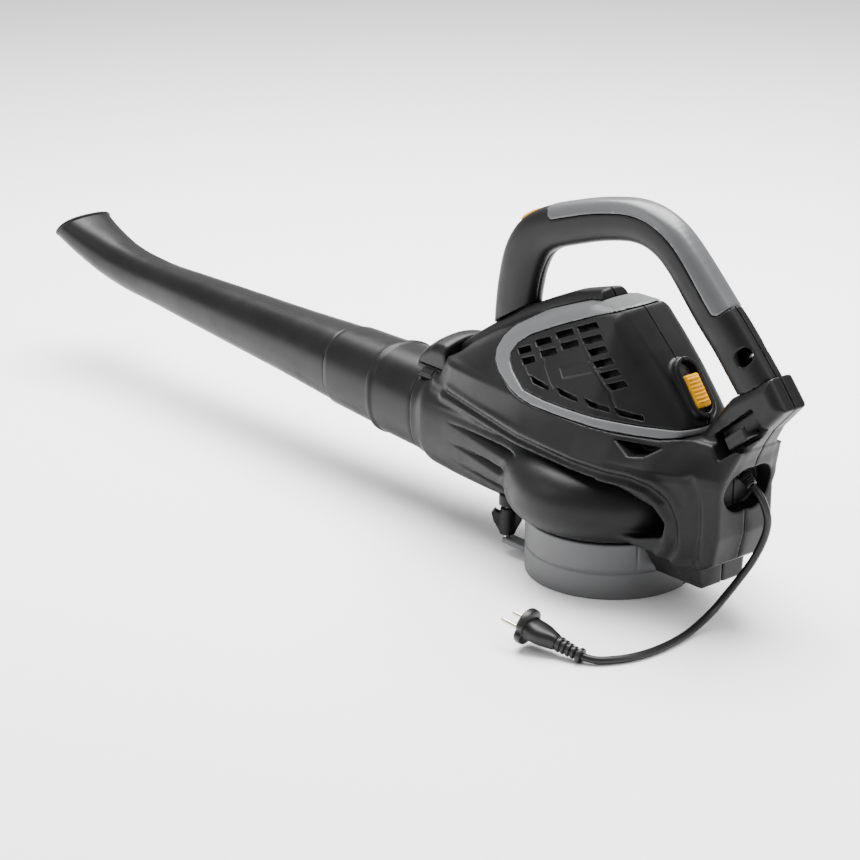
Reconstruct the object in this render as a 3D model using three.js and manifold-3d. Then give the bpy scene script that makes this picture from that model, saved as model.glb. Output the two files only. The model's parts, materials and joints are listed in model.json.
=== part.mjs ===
// Mains-powered leaf vacuum mulcher, set up as a blower and standing on its round intake ring.
//
// Millimetres. +X is the direction it blows in, +Y is its left side, +Z is up.
// The parts are drawn round the fan axis (x = 0, y = 0) on a floor at z = 0, and the whole
// assembly is moved at the end so that its origin is the middle of its footprint.

import * as THREE from 'three';
import { mergeVertices } from 'three/addons/utils/BufferGeometryUtils.js';
import Module from 'manifold-3d';

const wasm = await Module();
wasm.setup();

// ---------------------------------------------------------------- driving dimensions

const GAP = 0.3;                 // clearance between pieces that touch
const WALL = 3;                  // moulded wall thickness
const FAR = 400;                 // longer than anything that a cutting solid has to clear

const RING_RADIUS = 85;          // grey intake ring that the machine stands on
const RING_HEIGHT = 58;
const FAN_CASE_BASE = 58.5;       // underside of the round fan casing
const FAN_CASE_RADIUS = 107;
const FRAME_GAP_RADIUS = 118;    // inner face of the frame that stands behind the casing
const FLOOR_OF_MOTOR_ROOM = 133.5;

const TUBE_AXIS_HEIGHT = 98.5;   // blower tube axis above the floor at x = 0
const TUBE_RISE = 0.0355;        // climb of that axis per millimetre forward
const COLLAR_END = 249;          // front of the housing's tube collar
const SLEEVE_STEP = 324;         // raised lip round the lower tube
const SLEEVE_END = 404;          // where the nozzle tube starts
const NOZZLE_BEND = 780;         // where the nozzle tube turns up

const HANDLE_HALF_WIDTH = 16.5;
const HANDLE_HALF_DEPTH = 21;
const GRIP_THICKNESS = 2.5;

const KNOB = { x: 96, y: 51 };   // axis of the wing knob that holds the intake ring
const RING_HINGE = { x: -98, z: 45 };

const CORD_RADIUS = 3.8;
const PLUG_FACE = [-85.7, 195.7, 22.6];    // middle of the plug's face; it lies nose up on its lead
const PLUG_LIFT = 14;
const PLUG_SWING = 14;

// ---------------------------------------------------------------- materials

const plastic = (color, roughness) => new THREE.MeshStandardMaterial({ color, roughness, metalness: 0 });
const metal = (color, roughness) => new THREE.MeshStandardMaterial({ color, roughness, metalness: 1 });

const blackShell = plastic(0x2b2b2c, 0.55);
const blackTube = plastic(0x252526, 0.5);
const greyTrim = plastic(0x77797c, 0.45);
const greyRing = plastic(0x6a6b6d, 0.5);
const softGrip = plastic(0x8b8c8f, 0.5);
const yellowPlastic = plastic(0xf5ad14, 0.4);
const rubber = plastic(0x1c1c1d, 0.7);
const innerPlastic = plastic(0x3a3a3c, 0.6);
const nylon = plastic(0xb9b7ae, 0.5);
const boardGreen = plastic(0x1f5a35, 0.5);
const steel = metal(0xb4b6b8, 0.35);
const laminations = metal(0x6d7073, 0.5);
const copper = metal(0xb86a3a, 0.4);
const brass = metal(0xc9a85a, 0.3);
const carbon = plastic(0x17171a, 0.8);

// ---------------------------------------------------------------- solid helpers

// A closed three.js geometry as a solid that can be joined and cut.
function solid(geometry) {
  const bare = geometry.clone();
  bare.deleteAttribute('normal');
  bare.deleteAttribute('uv');
  const merged = mergeVertices(bare, 1e-4);
  const points = merged.attributes.position.array;
  const corners = Array.from(merged.index.array);
  const used = [];
  for (let i = 0; i < corners.length; i += 3) {
    const [a, b, c] = corners.slice(i, i + 3);
    if (a !== b && b !== c && c !== a) used.push(a, b, c);
  }
  return new wasm.Manifold(new wasm.Mesh({
    numProp: 3,
    vertProperties: new Float32Array(points),
    triVerts: new Uint32Array(signedVolume(points, used) < 0 ? used.reverse() : used),
  }));
}

// Positive when the triangles face outward.
function signedVolume(points, corners) {
  const a = new THREE.Vector3();
  const b = new THREE.Vector3();
  const c = new THREE.Vector3();
  let total = 0;
  for (let i = 0; i < corners.length; i += 3) {
    a.fromArray(points, corners[i] * 3);
    b.fromArray(points, corners[i + 1] * 3);
    c.fromArray(points, corners[i + 2] * 3);
    total += a.dot(b.cross(c)) / 6;
  }
  return total;
}

// The shaded three.js geometry of a finished solid.
function geometryOf(body) {
  const { vertProperties, triVerts } = body.getMesh();
  const geometry = new THREE.BufferGeometry();
  geometry.setAttribute('position', new THREE.BufferAttribute(vertProperties, 3));
  geometry.setIndex(new THREE.BufferAttribute(triVerts, 1));
  geometry.computeVertexNormals();
  return geometry;
}

const joined = (...bodies) => bodies.reduce((sum, body) => sum.add(body));
const cut = (base, ...tools) => tools.reduce((left, tool) => left.subtract(tool), base);

// Cross sections with equal point counts, skinned and closed with a flat fan at each end.
function loft(rings) {
  const count = rings[0].length;
  const positions = rings.flat(2);
  const faces = [];
  for (let r = 0; r + 1 < rings.length; r++) {
    for (let i = 0; i < count; i++) {
      const next = (i + 1) % count;
      const a = r * count + i;
      const b = r * count + next;
      faces.push(a, b, a + count, b, b + count, a + count);
    }
  }
  for (const r of [0, rings.length - 1]) {
    const centre = positions.length / 3;
    const middle = [0, 1, 2].map((k) => rings[r].reduce((sum, p) => sum + p[k], 0) / count);
    positions.push(...middle);
    for (let i = 0; i < count; i++) {
      const a = r * count + i;
      const b = r * count + (i + 1) % count;
      faces.push(...(r === 0 ? [b, a, centre] : [a, b, centre]));
    }
  }
  const geometry = new THREE.BufferGeometry();
  geometry.setAttribute('position', new THREE.Float32BufferAttribute(positions, 3));
  geometry.setIndex(faces);
  return solid(geometry);
}

function box(x0, x1, y0, y1, z0, z1) {
  const geometry = new THREE.BoxGeometry(x1 - x0, y1 - y0, z1 - z0);
  geometry.translate((x0 + x1) / 2, (y0 + y1) / 2, (z0 + z1) / 2);
  return solid(geometry);
}

// A round bar between two points, tapered if the second radius differs.
function bar(from, to, radius, segments = 16, endRadius = radius) {
  const start = new THREE.Vector3(...from);
  const end = new THREE.Vector3(...to);
  const axis = end.clone().sub(start);
  const geometry = new THREE.CylinderGeometry(endRadius, radius, axis.length(), segments);
  geometry.translate(0, axis.length() / 2, 0);
  const turn = new THREE.Quaternion().setFromUnitVectors(new THREE.Vector3(0, 1, 0), axis.normalize());
  geometry.applyQuaternion(turn);
  geometry.translate(...from);
  return solid(geometry);
}

// An upright turned piece: profile points are [radius, z], listed round the section.
function turned(profile, segments = 28) {
  const closed = profile[0][0] > 0 ? [...profile, profile[0]] : profile;
  const geometry = new THREE.LatheGeometry(closed.map(([r, z]) => new THREE.Vector2(r, z)), segments);
  geometry.rotateX(Math.PI / 2);
  return solid(geometry);
}

const tubeRing = (outer, inner, z0, z1, segments = 28) =>
  turned([[inner, z0], [outer, z0], [outer, z1], [inner, z1]], segments);

// A side-view outline of [x, z] points, extruded across the machine from y0 to y1.
function sideCut(outline, y0, y1) {
  const shape = new THREE.Shape(outline.map(([x, z]) => new THREE.Vector2(x, z)));
  const geometry = new THREE.ExtrudeGeometry(shape, { depth: y1 - y0, bevelEnabled: false });
  geometry.rotateX(Math.PI / 2);
  geometry.translate(0, y1, 0);
  return solid(geometry);
}

// A block drawn in a tilted frame of the side view: `along` and `out` are ranges in that frame.
function tiltedBlock(frame, along, across, out) {
  const geometry = new THREE.BoxGeometry(along[1] - along[0], across[1] - across[0], out[1] - out[0]);
  geometry.translate((along[0] + along[1]) / 2, (across[0] + across[1]) / 2, (out[0] + out[1]) / 2);
  geometry.rotateY(-frame.angle);
  geometry.translate(frame.x, 0, frame.z);
  return solid(geometry);
}

const leftSide = () => box(-FAR, 3 * FAR, GAP / 2, FAR, -FAR, FAR);
const rightSide = () => box(-FAR, 3 * FAR, -FAR, -GAP / 2, -FAR, FAR);

// Superellipse points [u, v] round a section.
function roundedSection(halfU, halfV, power, count) {
  const points = [];
  for (let i = 0; i < count; i++) {
    const angle = (2 * Math.PI * i) / count;
    const c = Math.cos(angle);
    const s = Math.sin(angle);
    points.push([
      halfU * Math.sign(c) * Math.abs(c) ** (2 / power),
      halfV * Math.sign(s) * Math.abs(s) ** (2 / power),
    ]);
  }
  return points;
}

// ---------------------------------------------------------------- assembly bookkeeping

const machine = new THREE.Group();
const leadGroup = new THREE.Group();

function place(name, body, material, group = machine) {
  const mesh = new THREE.Mesh(geometryOf(body), material);
  mesh.name = name;
  group.add(mesh);
}

// ---------------------------------------------------------------- blower tube and duct

const tubeAxisZ = (x) => TUBE_AXIS_HEIGHT + TUBE_RISE * x;

function tubeSection(x, halfWidth, halfHeight = halfWidth, count = 20, power = 2.4) {
  return roundedSection(halfWidth, halfHeight, power, count).map(([y, z]) => [x, y, z + tubeAxisZ(x)]);
}

// The duct that carries air from the fan casing to the collar.
function duct(inset) {
  const stations = [[COLLAR_END, 52.5, 52.5], [236, 53, 54], [228, 57.5, 57.5], [190, 59, 59.5],
    [150, 62, 59], [90, 70, 56], [30, 84, 50]];
  return loft(stations.map(([x, w, h]) => {
    const overrun = x === COLLAR_END && inset > 0 ? 1 : 0;
    return tubeSection(x + overrun, w - inset, h - inset);
  }));
}

function lowerTube() {
  const outside = loft([[COLLAR_END + GAP, 51.5], [SLEEVE_STEP - 1, 49.5], [SLEEVE_STEP + 1, 47.5],
    [SLEEVE_END, 44.5]].map(([x, r]) => tubeSection(x, r)));
  const spigot = loft([[211, 47.5], [COLLAR_END + 5, 47.5]].map(([x, r]) => tubeSection(x, r)));
  const bore = loft([[210, 44.5], [COLLAR_END, 44.5], [SLEEVE_STEP, 44], [SLEEVE_END + 1, 41.2]]
    .map(([x, r]) => tubeSection(x, r)));
  return cut(joined(outside, spigot), bore);
}

// Centre line of the nozzle tube's turned-up end and its flare: [x, rise, tilt, half width, half height].
const NOZZLE_END = [[NOZZLE_BEND, 0, 0.04, 25, 25], [820, 1.5, 0.12, 25.5, 25], [856, 6, 0.3, 27, 25],
  [888, 14, 0.5, 30, 25], [916, 23, 0.72, 33.5, 24.5], [938, 32, 0.86, 36.5, 24]];

function nozzleSkin(inset, overrun) {
  const straight = [[SLEEVE_END + GAP + 2 * overrun, 43], [500, 37.5], [600, 33.2], [700, 28.6]]
    .map(([x, r]) => tubeSection(x, r - inset));
  const end = NOZZLE_END.map(([x, rise, tilt, halfWidth, halfHeight], i) => {
    const last = i === NOZZLE_END.length - 1 ? overrun : 0;
    return roundedSection(halfWidth - inset, halfHeight - inset, 2.4, 20).map(([y, v]) => [
      x - v * Math.sin(tilt) + last * Math.cos(tilt),
      y,
      tubeAxisZ(x) + rise + v * Math.cos(tilt) + last * Math.sin(tilt),
    ]);
  });
  return loft([...straight, ...end]);
}

function nozzleTube() {
  const spigot = loft([[372, 40.4], [SLEEVE_END + 4, 40.4]].map(([x, r]) => tubeSection(x, r)));
  const spigotBore = loft([[371, 37.6], [SLEEVE_END + 8, 37.6]].map(([x, r]) => tubeSection(x, r)));
  return cut(joined(nozzleSkin(0, 0), spigot), spigotBore, nozzleSkin(2.6, 2));
}

// ---------------------------------------------------------------- housing

// Plan outlines of the deck over the fan casing, by height: half widths along x.
const DECK = [
  [132, [[240, 32], [212, 47], [140, 60], [55, 74], [-30, 82],
    [-70, 80], [-112, 70], [-137, 56], [-160, 44], [-178, 38]]],
  [141, [[243, 32], [216, 49], [140, 63], [55, 78], [-30, 86],
    [-70, 84], [-112, 73], [-139, 58], [-162, 45], [-180, 39]]],
  [150, [[243, 30], [216, 48], [140, 63], [55, 78], [-30, 86],
    [-70, 84], [-112, 73], [-139, 58], [-164, 44], [-183, 38]]],
  [157, [[206, 28], [196, 47], [138, 61], [55, 76], [-30, 84],
    [-70, 81], [-111, 70], [-138, 56], [-164, 42], [-185, 37]]],
  [178, [[200, 20], [186, 38], [135, 52], [55, 68], [-30, 74],
    [-70, 70], [-106, 55], [-132, 42], [-166, 36], [-195, 33]]],
];

// Plan outlines of the frame behind the fan casing.
const REAR_FRAME = [
  [58, [[-60, 65], [-98, 55], [-124, 49], [-152, 38], [-168, 35]]],
  [90, [[-60, 74], [-100, 64], [-130, 56], [-152, 44], [-179, 38]]],
  [118, [[-60, 80], [-104, 69], [-134, 58], [-156, 44], [-178, 38]]],
  [134, [[-60, 82], [-110, 71], [-137, 56], [-160, 44], [-178, 38]]],
];

function planLoft(levels, inset) {
  return loft(levels.map(([z, stations]) => {
    const shrunk = stations.map(([x, w], i) => {
      const inward = i === 0 ? -inset : i === stations.length - 1 ? inset : 0;
      return [x + inward, w - inset];
    });
    const near = shrunk.map(([x, w]) => [x, w, z]);
    const back = shrunk.map(([x, w]) => [x, -w, z]).reverse();
    return [...near, ...back];
  }));
}

// Cross sections of the dome over the motor: [x, half width at the base, half width of the top, top].
const DOME = [
  [206, 44, 22, 160], [202, 50, 24, 184], [178, 55, 26, 205], [140, 60, 28, 226], [114, 63, 29, 240],
  [77, 67, 31, 257], [46, 70, 32, 270], [10, 71, 33, 281], [-2, 71, 33, 284], [-38, 69, 33, 284],
  [-60, 64, 33, 263], [-85, 56, 30, 240], [-105, 47, 28, 218], [-120, 37, 27, 197], [-131, 28, 25, 177],
];
const DOME_BASE = 178;

// Raised spine along the top of the dome, in front of the trim, under the handle's front leg.
const SPINE = [[-1.5, 262], [-1.5, 285], [6, 291], [46, 281], [77, 267], [114, 249], [183, 208], [203, 194],
  [203, 180]];
const SPINE_HALF_WIDTH = 15;

function dome(inset) {
  const floor = inset > 0 ? FLOOR_OF_MOTOR_ROOM : 140;
  return loft(DOME.map(([x, w, s, t], i) => {
    const inward = i === 0 ? -inset : i === DOME.length - 1 ? inset : 0;
    const base = Math.min(DOME_BASE, t - 18);
    const half = [
      [s * 0.55, t - inset],
      [s - inset * 0.5, t - 3 - inset],
      [s + 3 - inset * 0.8, t - 8 - inset * 0.6],
      [s + 3 + (w - s - 3) * 0.55 - inset, base + (t - 8 - base) * 0.5],
      [w - inset, base],
      [w - inset, floor],
    ];
    const mirrored = half.map(([y, z]) => [x + inward, -y, z]).reverse();
    return [...half.map(([y, z]) => [x + inward, y, z]), ...mirrored];
  }));
}

// Side outlines: what the grey trim frame surrounds, with and without the trim.
const COVER_BACK = [[-42, 296], [-66, 272], [-90, 247], [-112, 224], [-127, 202], [-136, 185]];
const TRIM_OUTER = [[-136, 181.5], [-109, 176.5], [-60, 175.5], [40, 176.5], [64, 179], [79, 183],
  [104, 193], [121, 206], [121, 217], [111, 235], [70, 259], [16, 280], [-2, 282.5], [-2, 296],
  ...COVER_BACK];
const TRIM_INNER = [[-136, 184], [-109, 185.5], [-24, 185], [27, 185], [60, 187], [84, 199], [96, 211],
  [92, 221], [75, 235], [38, 253], [-9, 273], [-35, 282], [-38, 283], [-38, 296], ...COVER_BACK];
const COVER_CENTRE = { x: -40, z: 225 };
const COVER_SHRINK = 0.992;

const shrunkOutline = (outline) => outline.map(([x, z]) => [
  COVER_CENTRE.x + (x - COVER_CENTRE.x) * COVER_SHRINK,
  COVER_CENTRE.z + (z - COVER_CENTRE.z) * COVER_SHRINK,
]);

// Block under the rear leg of the handle, seen from the side.
const REAR_BLOCK = [[-112, 150], [-135, 178], [-135, 188], [-152, 207], [-166, 227], [-214, 256],
  [-236, 229], [-208, 199], [-189, 168], [-183, 150]];

const CORD_RECESS = { y: 5, z: 138, radius: 25, floor: -163 };
const HOOK_POCKET = { x: -186, z: 197, angle: THREE.MathUtils.degToRad(-40) };
const SCREW_SPOTS = [[-142, 49], [-206, 222], [184, 176]];

function fanCase(inset) {
  const top = 131 - inset;
  const base = FAN_CASE_BASE + (inset > 0 ? 5 : 0);
  const r = FAN_CASE_RADIUS - inset;
  return turned([[0, base], [r - 18, base], [r - 9, base + 7], [r - 3, 75], [r, 92], [r, 103], [r - 3, 115],
    [r - 9, top - 6], [r - 20, top], [0, top]], 32);
}

function housingOutside() {
  const frameGap = tubeRing(FRAME_GAP_RADIUS, 60, FAN_CASE_BASE + 4, 131.5, 32);
  const frame = cut(planLoft(REAR_FRAME, 0), frameGap);
  const foot = box(-153, -92, -30, 30, 33, 64);
  const knobBoss = bar([KNOB.x, KNOB.y, 51.5], [KNOB.x, KNOB.y, 80], 9);
  const block = sideCut(REAR_BLOCK, -20, 20);
  const spine = sideCut(SPINE, -SPINE_HALF_WIDTH, SPINE_HALF_WIDTH);
  return joined(duct(0), planLoft(DECK, 0), dome(0), spine, fanCase(0), frame, foot, knobBoss, block);
}

function housingInside() {
  const intake = bar([0, 0, 40], [0, 0, FAN_CASE_BASE + 6], 72, 40);
  const plateHole = bar([0, 0, 120], [0, 0, 140], 60, 40);
  const deckRoom = planLoft([[FLOOR_OF_MOTOR_ROOM, DECK[0][1]], ...DECK.slice(2)], WALL);
  const cableRoom = box(-158, -126, -30, 30, 66, 172);
  const behindCable = box(-FAR, -158, -FAR, FAR, 0, FAR);
  const underHandle = box(-FAR, -112, -FAR, FAR, 168, FAR);
  const insideFrame = bar([0, 0, 0], [0, 0, FAR], FRAME_GAP_RADIUS + 3.5);
  const frameLevels = [[62, REAR_FRAME[0][1]], ...REAR_FRAME.slice(1, 3)];
  const frameRoom = cut(planLoft(frameLevels, 4), insideFrame, behindCable);
  const aboveRing = bar([0, 0, 0], [0, 0, FAN_CASE_BASE + 5], RING_RADIUS + 5, 36);
  const motorRoom = joined(cut(deckRoom, behindCable, underHandle), dome(WALL), plateHole);
  return joined(fanCase(WALL), cut(duct(3.6), aboveRing), intake, motorRoom, cableRoom, frameRoom);
}

function screwHoles() {
  return joined(...SCREW_SPOTS.map(([x, z]) => joined(
    bar([x, -FAR, z], [x, 12, z], 2.3, 12),
    bar([x, -FAR, z], [x, -14, z], 4.6, 16),
  )));
}

function housingCuts() {
  const { y, z, radius, floor } = CORD_RECESS;
  const recess = bar([floor, y, z], [-FAR, y, z], radius, 28);
  const glandHole = bar([-150, -9, 148], [-170, -9, 148], 5.3, 16);
  const hookPocket = tiltedBlock(HOOK_POCKET, [-27, 27], [11, FAR], [-13, 13]);
  const hingePocket = box(-110, -80, -12.5, 12.5, 30, 54);
  const hingePinHole = bar([RING_HINGE.x, -20.5, RING_HINGE.z], [RING_HINGE.x, 20.5, RING_HINGE.z], 2.8, 16);
  const studHole = bar([KNOB.x, KNOB.y, 40], [KNOB.x, KNOB.y, 60.5], 3.6, 16);
  const latchWindow = latchBlock(12.6, 6.6, 40, 75);
  const ringRoom = bar([0, 0, 0], [0, 0, FAN_CASE_BASE], RING_RADIUS + 1, 36);
  return joined(ringRoom, recess, glandHole, hookPocket, hingePocket, hingePinHole, studHole, latchWindow,
    screwHoles(), sideCut(TRIM_OUTER, -FAR, FAR));
}

function screwPosts() {
  const [x, z] = SCREW_SPOTS[2];
  return bar([x, -50, z], [x, 50, z], 6.5, 20);
}

// ---------------------------------------------------------------- motor covers and trim

const switchFace = { x: -110, z: 214.5, angle: THREE.MathUtils.degToRad(53.4) };

// Cooling slots by their upper front corner and length: two short rows in front of a leaning column.
const FRONT_SLOTS = [[87, 219, 19], [64, 232.5, 23], [37, 246.5, 24], [76, 212, 19], [51, 225.5, 22],
  [25, 239, 23]];
const COLUMN_SLOTS = [0, 1, 2, 3, 4, 5].map((i) => [8 - 11 * i, 259 - 8.4 * i, 24 - 1.6 * i]);
const BOTTOM_SLOTS = [[55, 201.5], [14, 200.5], [-25, 199], [-59, 197]];

function ventSlots(side) {
  const leaning = [...FRONT_SLOTS, ...COLUMN_SLOTS].map(([x, z, length]) => {
    const [alongX, alongZ] = [-0.92 * length, 0.39 * length];
    return [[x, z], [x + alongX, z + alongZ], [x + alongX - 5.2, z + alongZ - 3.9], [x - 5.2, z - 3.9]];
  });
  const wedges = BOTTOM_SLOTS.map(([x, z]) => [[x, z], [x - 29, z - 2.5], [x - 31, z - 6], [x - 7, z - 5]]);
  const all = joined(...[...leaning, ...wedges].map((outline) => sideCut(outline, 8, FAR)));
  return side > 0 ? all : all.mirror([0, 1, 0]);
}

// A baffle hangs inside the cooling slots: air passes round it, and nothing shows through them.
function ventBaffle(side) {
  const wall = cut(dome(9), dome(11)).intersect(box(-72, 112, 22, 100, 188, 262));
  const shelf = cut(dome(1), dome(11)).intersect(box(-72, 45, 22, 100, 188, 190));
  const both = joined(wall, shelf);
  return side > 0 ? both : both.mirror([0, 1, 0]);
}

function motorCover(side) {
  const skin = cut(dome(0), dome(WALL));
  const inOutline = skin.intersect(sideCut(shrunkOutline(TRIM_INNER), -FAR, FAR));
  const switchLip = tiltedBlock(switchFace, [-27, 34], [-14, 14], [-4, 3]);
  const switchSlot = tiltedBlock(switchFace, [-22, 29], [-10.5, 10.5], [-20, 20]);
  const half = side > 0 ? leftSide() : rightSide();
  const shell = cut(joined(inOutline, switchLip).intersect(half), ventSlots(side), switchSlot);
  return joined(shell, ventBaffle(side));
}

function trimFrame() {
  const skin = cut(dome(0), dome(WALL));
  return cut(skin.intersect(sideCut(shrunkOutline(TRIM_OUTER), -FAR, FAR)), sideCut(TRIM_INNER, -FAR, FAR));
}

// ---------------------------------------------------------------- handle

const HANDLE_LINE = new THREE.CatmullRomCurve3([
  [141, 205], [140, 236], [136, 268], [128, 298], [113, 322], [90, 338], [50, 352], [10, 363], [-30, 369],
  [-62, 364], [-92, 346], [-133, 303], [-156, 281], [-178, 257], [-196, 237],
].map(([x, z]) => new THREE.Vector3(x, 0, z)), false, 'centripetal');
const HANDLE_STEPS = 24;
const HANDLE_POINTS = HANDLE_LINE.getSpacedPoints(HANDLE_STEPS);
const HANDLE_TANGENTS = HANDLE_POINTS.map((_, i) => HANDLE_LINE.getTangentAt(i / HANDLE_STEPS));

// Half depth of the handle, and how far its middle lies outside the line, by share along it.
const HANDLE_DEPTHS = [[0, 28, -2], [0.1, 26, -1], [0.2, 26, -2], [0.3, 22, -4], [0.5, 20.8, -4.3],
  [0.7, 21, -4.5], [0.8, 23, -3], [1, 24, -2]];

function handleDepth(t) {
  const next = Math.max(1, HANDLE_DEPTHS.findIndex(([share]) => share >= t));
  const [from, halfFrom, shiftFrom] = HANDLE_DEPTHS[next - 1];
  const [to, halfTo, shiftTo] = HANDLE_DEPTHS[next];
  const part = (t - from) / (to - from);
  return [halfFrom + (halfTo - halfFrom) * part, shiftFrom + (shiftTo - shiftFrom) * part];
}

// One section of the handle, placed on the straight pieces between the steps, so that every
// sweep follows the same line; v points to the handle's outer side.
function handleRing(section, t) {
  const [half, shift] = handleDepth(t);
  const step = Math.min(Math.floor(t * HANDLE_STEPS), HANDLE_STEPS - 1);
  const part = t * HANDLE_STEPS - step;
  const centre = HANDLE_POINTS[step].clone().lerp(HANDLE_POINTS[step + 1], part);
  const tangent = HANDLE_TANGENTS[step].clone().lerp(HANDLE_TANGENTS[step + 1], part);
  return section.map(([u, v]) => {
    const out = shift + (v * half) / HANDLE_HALF_DEPTH;
    return [centre.x + out * tangent.z, u, centre.z - out * tangent.x];
  });
}

// Skin of a section swept along part of the handle's centre line.
function handleSweep(section, from, to) {
  const stops = [from];
  for (let i = Math.floor(from * HANDLE_STEPS) + 1; i < to * HANDLE_STEPS; i++) stops.push(i / HANDLE_STEPS);
  return loft([...stops, to].map((t) => handleRing(section, t)));
}

const handleSection = (inset) =>
  roundedSection(HANDLE_HALF_WIDTH - inset, HANDLE_HALF_DEPTH - inset, 2.6, 14);
const outerHalf = (from) => [[-30, from], [30, from], [30, 34], [-30, 34]];

const GRIP_START = 0.327;
const GRIP_END = 0.84;
const GRIP_EDGE = 6.5;             // the grip's lower edge, outside the middle of the section
const buttonFrame = { x: 118.5, z: 340.5, angle: THREE.MathUtils.degToRad(-31) };
const strapFrame = { x: -181.5, z: 269.4, angle: THREE.MathUtils.degToRad(46) };

function handleShell() {
  const gripBed = cut(handleSweep(outerHalf(GRIP_EDGE), GRIP_START, GRIP_END),
    handleSweep(handleSection(GRIP_THICKNESS), 0.2, 0.9));
  const hollow = handleSweep(handleSection(5.5), 0.02, 0.8);
  const feet = joined(dome(0), sideCut(SPINE, -30, 30)).translate(0, 0, GAP)
    .add(sideCut(REAR_BLOCK, -30, 30).translate(0.3, 0, 0.4));
  const buttonHole = tiltedBlock(buttonFrame, [-13.5, 13.5], [-7, 7], [-14, 14]);
  const strapSlot = tiltedBlock(strapFrame, [-11, 11], [-FAR, FAR], [-8, 8]);
  const pinHole = tiltedBar(strapFrame, 0, [-13.3, 10.8], 2.9);
  return cut(handleSweep(handleSection(0), 0, 1), gripBed, hollow, feet, buttonHole, strapSlot, pinHole);
}

function gripInsert() {
  const skin = cut(handleSweep(handleSection(0), GRIP_START + 0.003, GRIP_END - 0.003),
    handleSweep(handleSection(GRIP_THICKNESS - GAP), 0.2, 0.9));
  return skin.intersect(handleSweep(outerHalf(GRIP_EDGE + GAP), 0.2, 0.9));
}

// A round bar along the outward direction of a tilted frame.
function tiltedBar(frame, along, out, radius) {
  const c = Math.cos(frame.angle);
  const s = Math.sin(frame.angle);
  const at = (n) => [frame.x + along * c - n * s, 0, frame.z + along * s + n * c];
  return bar(at(out[0]), at(out[1]), radius, 16);
}

// ---------------------------------------------------------------- controls

function slideSwitch() {
  const cap = tiltedBlock(switchFace, [-17, 17], [-9.5, 9.5], [-4, 4.5]);
  const ribs = [-10, -5, 0, 5, 10].map((a) => tiltedBlock(switchFace, [a - 1, a + 1], [-8.5, 8.5], [4, 5.5]));
  const stem = tiltedBlock(switchFace, [-4, 4], [-2.2, 2.2], [-13, -3]);
  return joined(cap, stem, ...ribs);
}

function switchPlate() {
  return cut(tiltedBlock(switchFace, [-26, 32], [-12, 12], [-10.5, -8]),
    tiltedBlock(switchFace, [-5, 16], [-3, 3], [-20, 0]));
}

const switchBody = () => tiltedBlock(switchFace, [-14, 24], [-9, 9], [-32, -14]);

function thumbButton() {
  const cap = tiltedBlock(buttonFrame, [-12.5, 12.5], [-6.2, 6.2], [-8, 3]);
  const crown = tiltedBlock(buttonFrame, [-9, 9], [-5, 5], [2, 4.2]);
  return joined(cap, crown);
}

const thumbMicroswitch = () => tiltedBlock(buttonFrame, [-10, 10], [-5, 5], [-22, -12]);

// The tube release button sits on the collar, leaning to the left of the top.
const LATCH = { x: 234, lean: THREE.MathUtils.degToRad(38) };

function latchBlock(halfLength, halfWidth, inner, outer) {
  const geometry = new THREE.BoxGeometry(2 * halfLength, 2 * halfWidth, outer - inner);
  geometry.translate(0, 0, (inner + outer) / 2);
  geometry.rotateX(-LATCH.lean);
  geometry.translate(LATCH.x, 0, tubeAxisZ(LATCH.x));
  return solid(geometry);
}

const latchButton = () => joined(latchBlock(12, 6, 53.5, 62.5), latchBlock(9, 4, 62, 64.5));

// Raised hood over the collar: a sector of a ring that grows towards the handle.
const HOOD_STATIONS = [[257, 62], [252, 70], [244, 78], [234, 84], [210, 88.5]];
const HOOD_ANGLES = [-27, -20, -13, -6, 0, 8, 17, 24].map(THREE.MathUtils.degToRad);

function hoodSector(inset, inner) {
  return loft(HOOD_STATIONS.map(([x, outer]) => {
    const arc = (r) => HOOD_ANGLES.map((a) => [
      x,
      r * Math.sin(a * (1 - inset / 60)),
      r * Math.cos(a) + tubeAxisZ(x),
    ]);
    return [...arc(outer - inset), ...arc(inner).reverse()];
  }));
}

function latchHood() {
  return cut(hoodSector(0, 61), hoodSector(6, 50).intersect(box(212, 252, -FAR, FAR, 0, FAR)));
}

// ---------------------------------------------------------------- intake ring and knob

function intakeRing() {
  const r = RING_RADIUS;
  const wall = turned([[r - 5, 0], [r, 0], [r, 27], [r - 1, 28], [r, 29], [r, RING_HEIGHT],
    [72.5, RING_HEIGHT], [72.5, RING_HEIGHT - 4], [r - 5, RING_HEIGHT - 4]], 36);
  const tab = box(60, KNOB.x + 11, KNOB.y - 8, KNOB.y + 8, 12, 18);
  const tabOutside = cut(tab, bar([0, 0, -5], [0, 0, 60], r - 2, 36));
  const slot = box(KNOB.x - 4, KNOB.x + 8, KNOB.y - 4.2, KNOB.y + 4.2, 8, 22);
  const lug = cut(box(-104, -82, -11.5, 11.5, 40.5, 49.5),
    bar([RING_HINGE.x, -20, RING_HINGE.z], [RING_HINGE.x, 20, RING_HINGE.z], 2.7, 16));
  const roundLug = cut(lug, box(-120, -101.5, -20, 20, 47.5, 60), box(-120, -101.5, -20, 20, 30, 42.5));
  return joined(wall, cut(tabOutside, slot), roundLug);
}

const ringHingePin = () =>
  bar([RING_HINGE.x, -20, RING_HINGE.z], [RING_HINGE.x, 20, RING_HINGE.z], 2.4, 16);

const GRILLE_BASE = 47.5;

function intakeGrille() {
  const rings = [[72, 68.5], [50, 47], [26, 23]]
    .map(([a, b]) => tubeRing(a, b, GRILLE_BASE, GRILLE_BASE + 4, 20));
  const spokes = [0, 45, 90, 135].map((angle) =>
    box(-71, 71, -1.5, 1.5, GRILLE_BASE, GRILLE_BASE + 4).rotate([0, 0, angle]));
  return joined(...rings, ...spokes);
}

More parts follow.
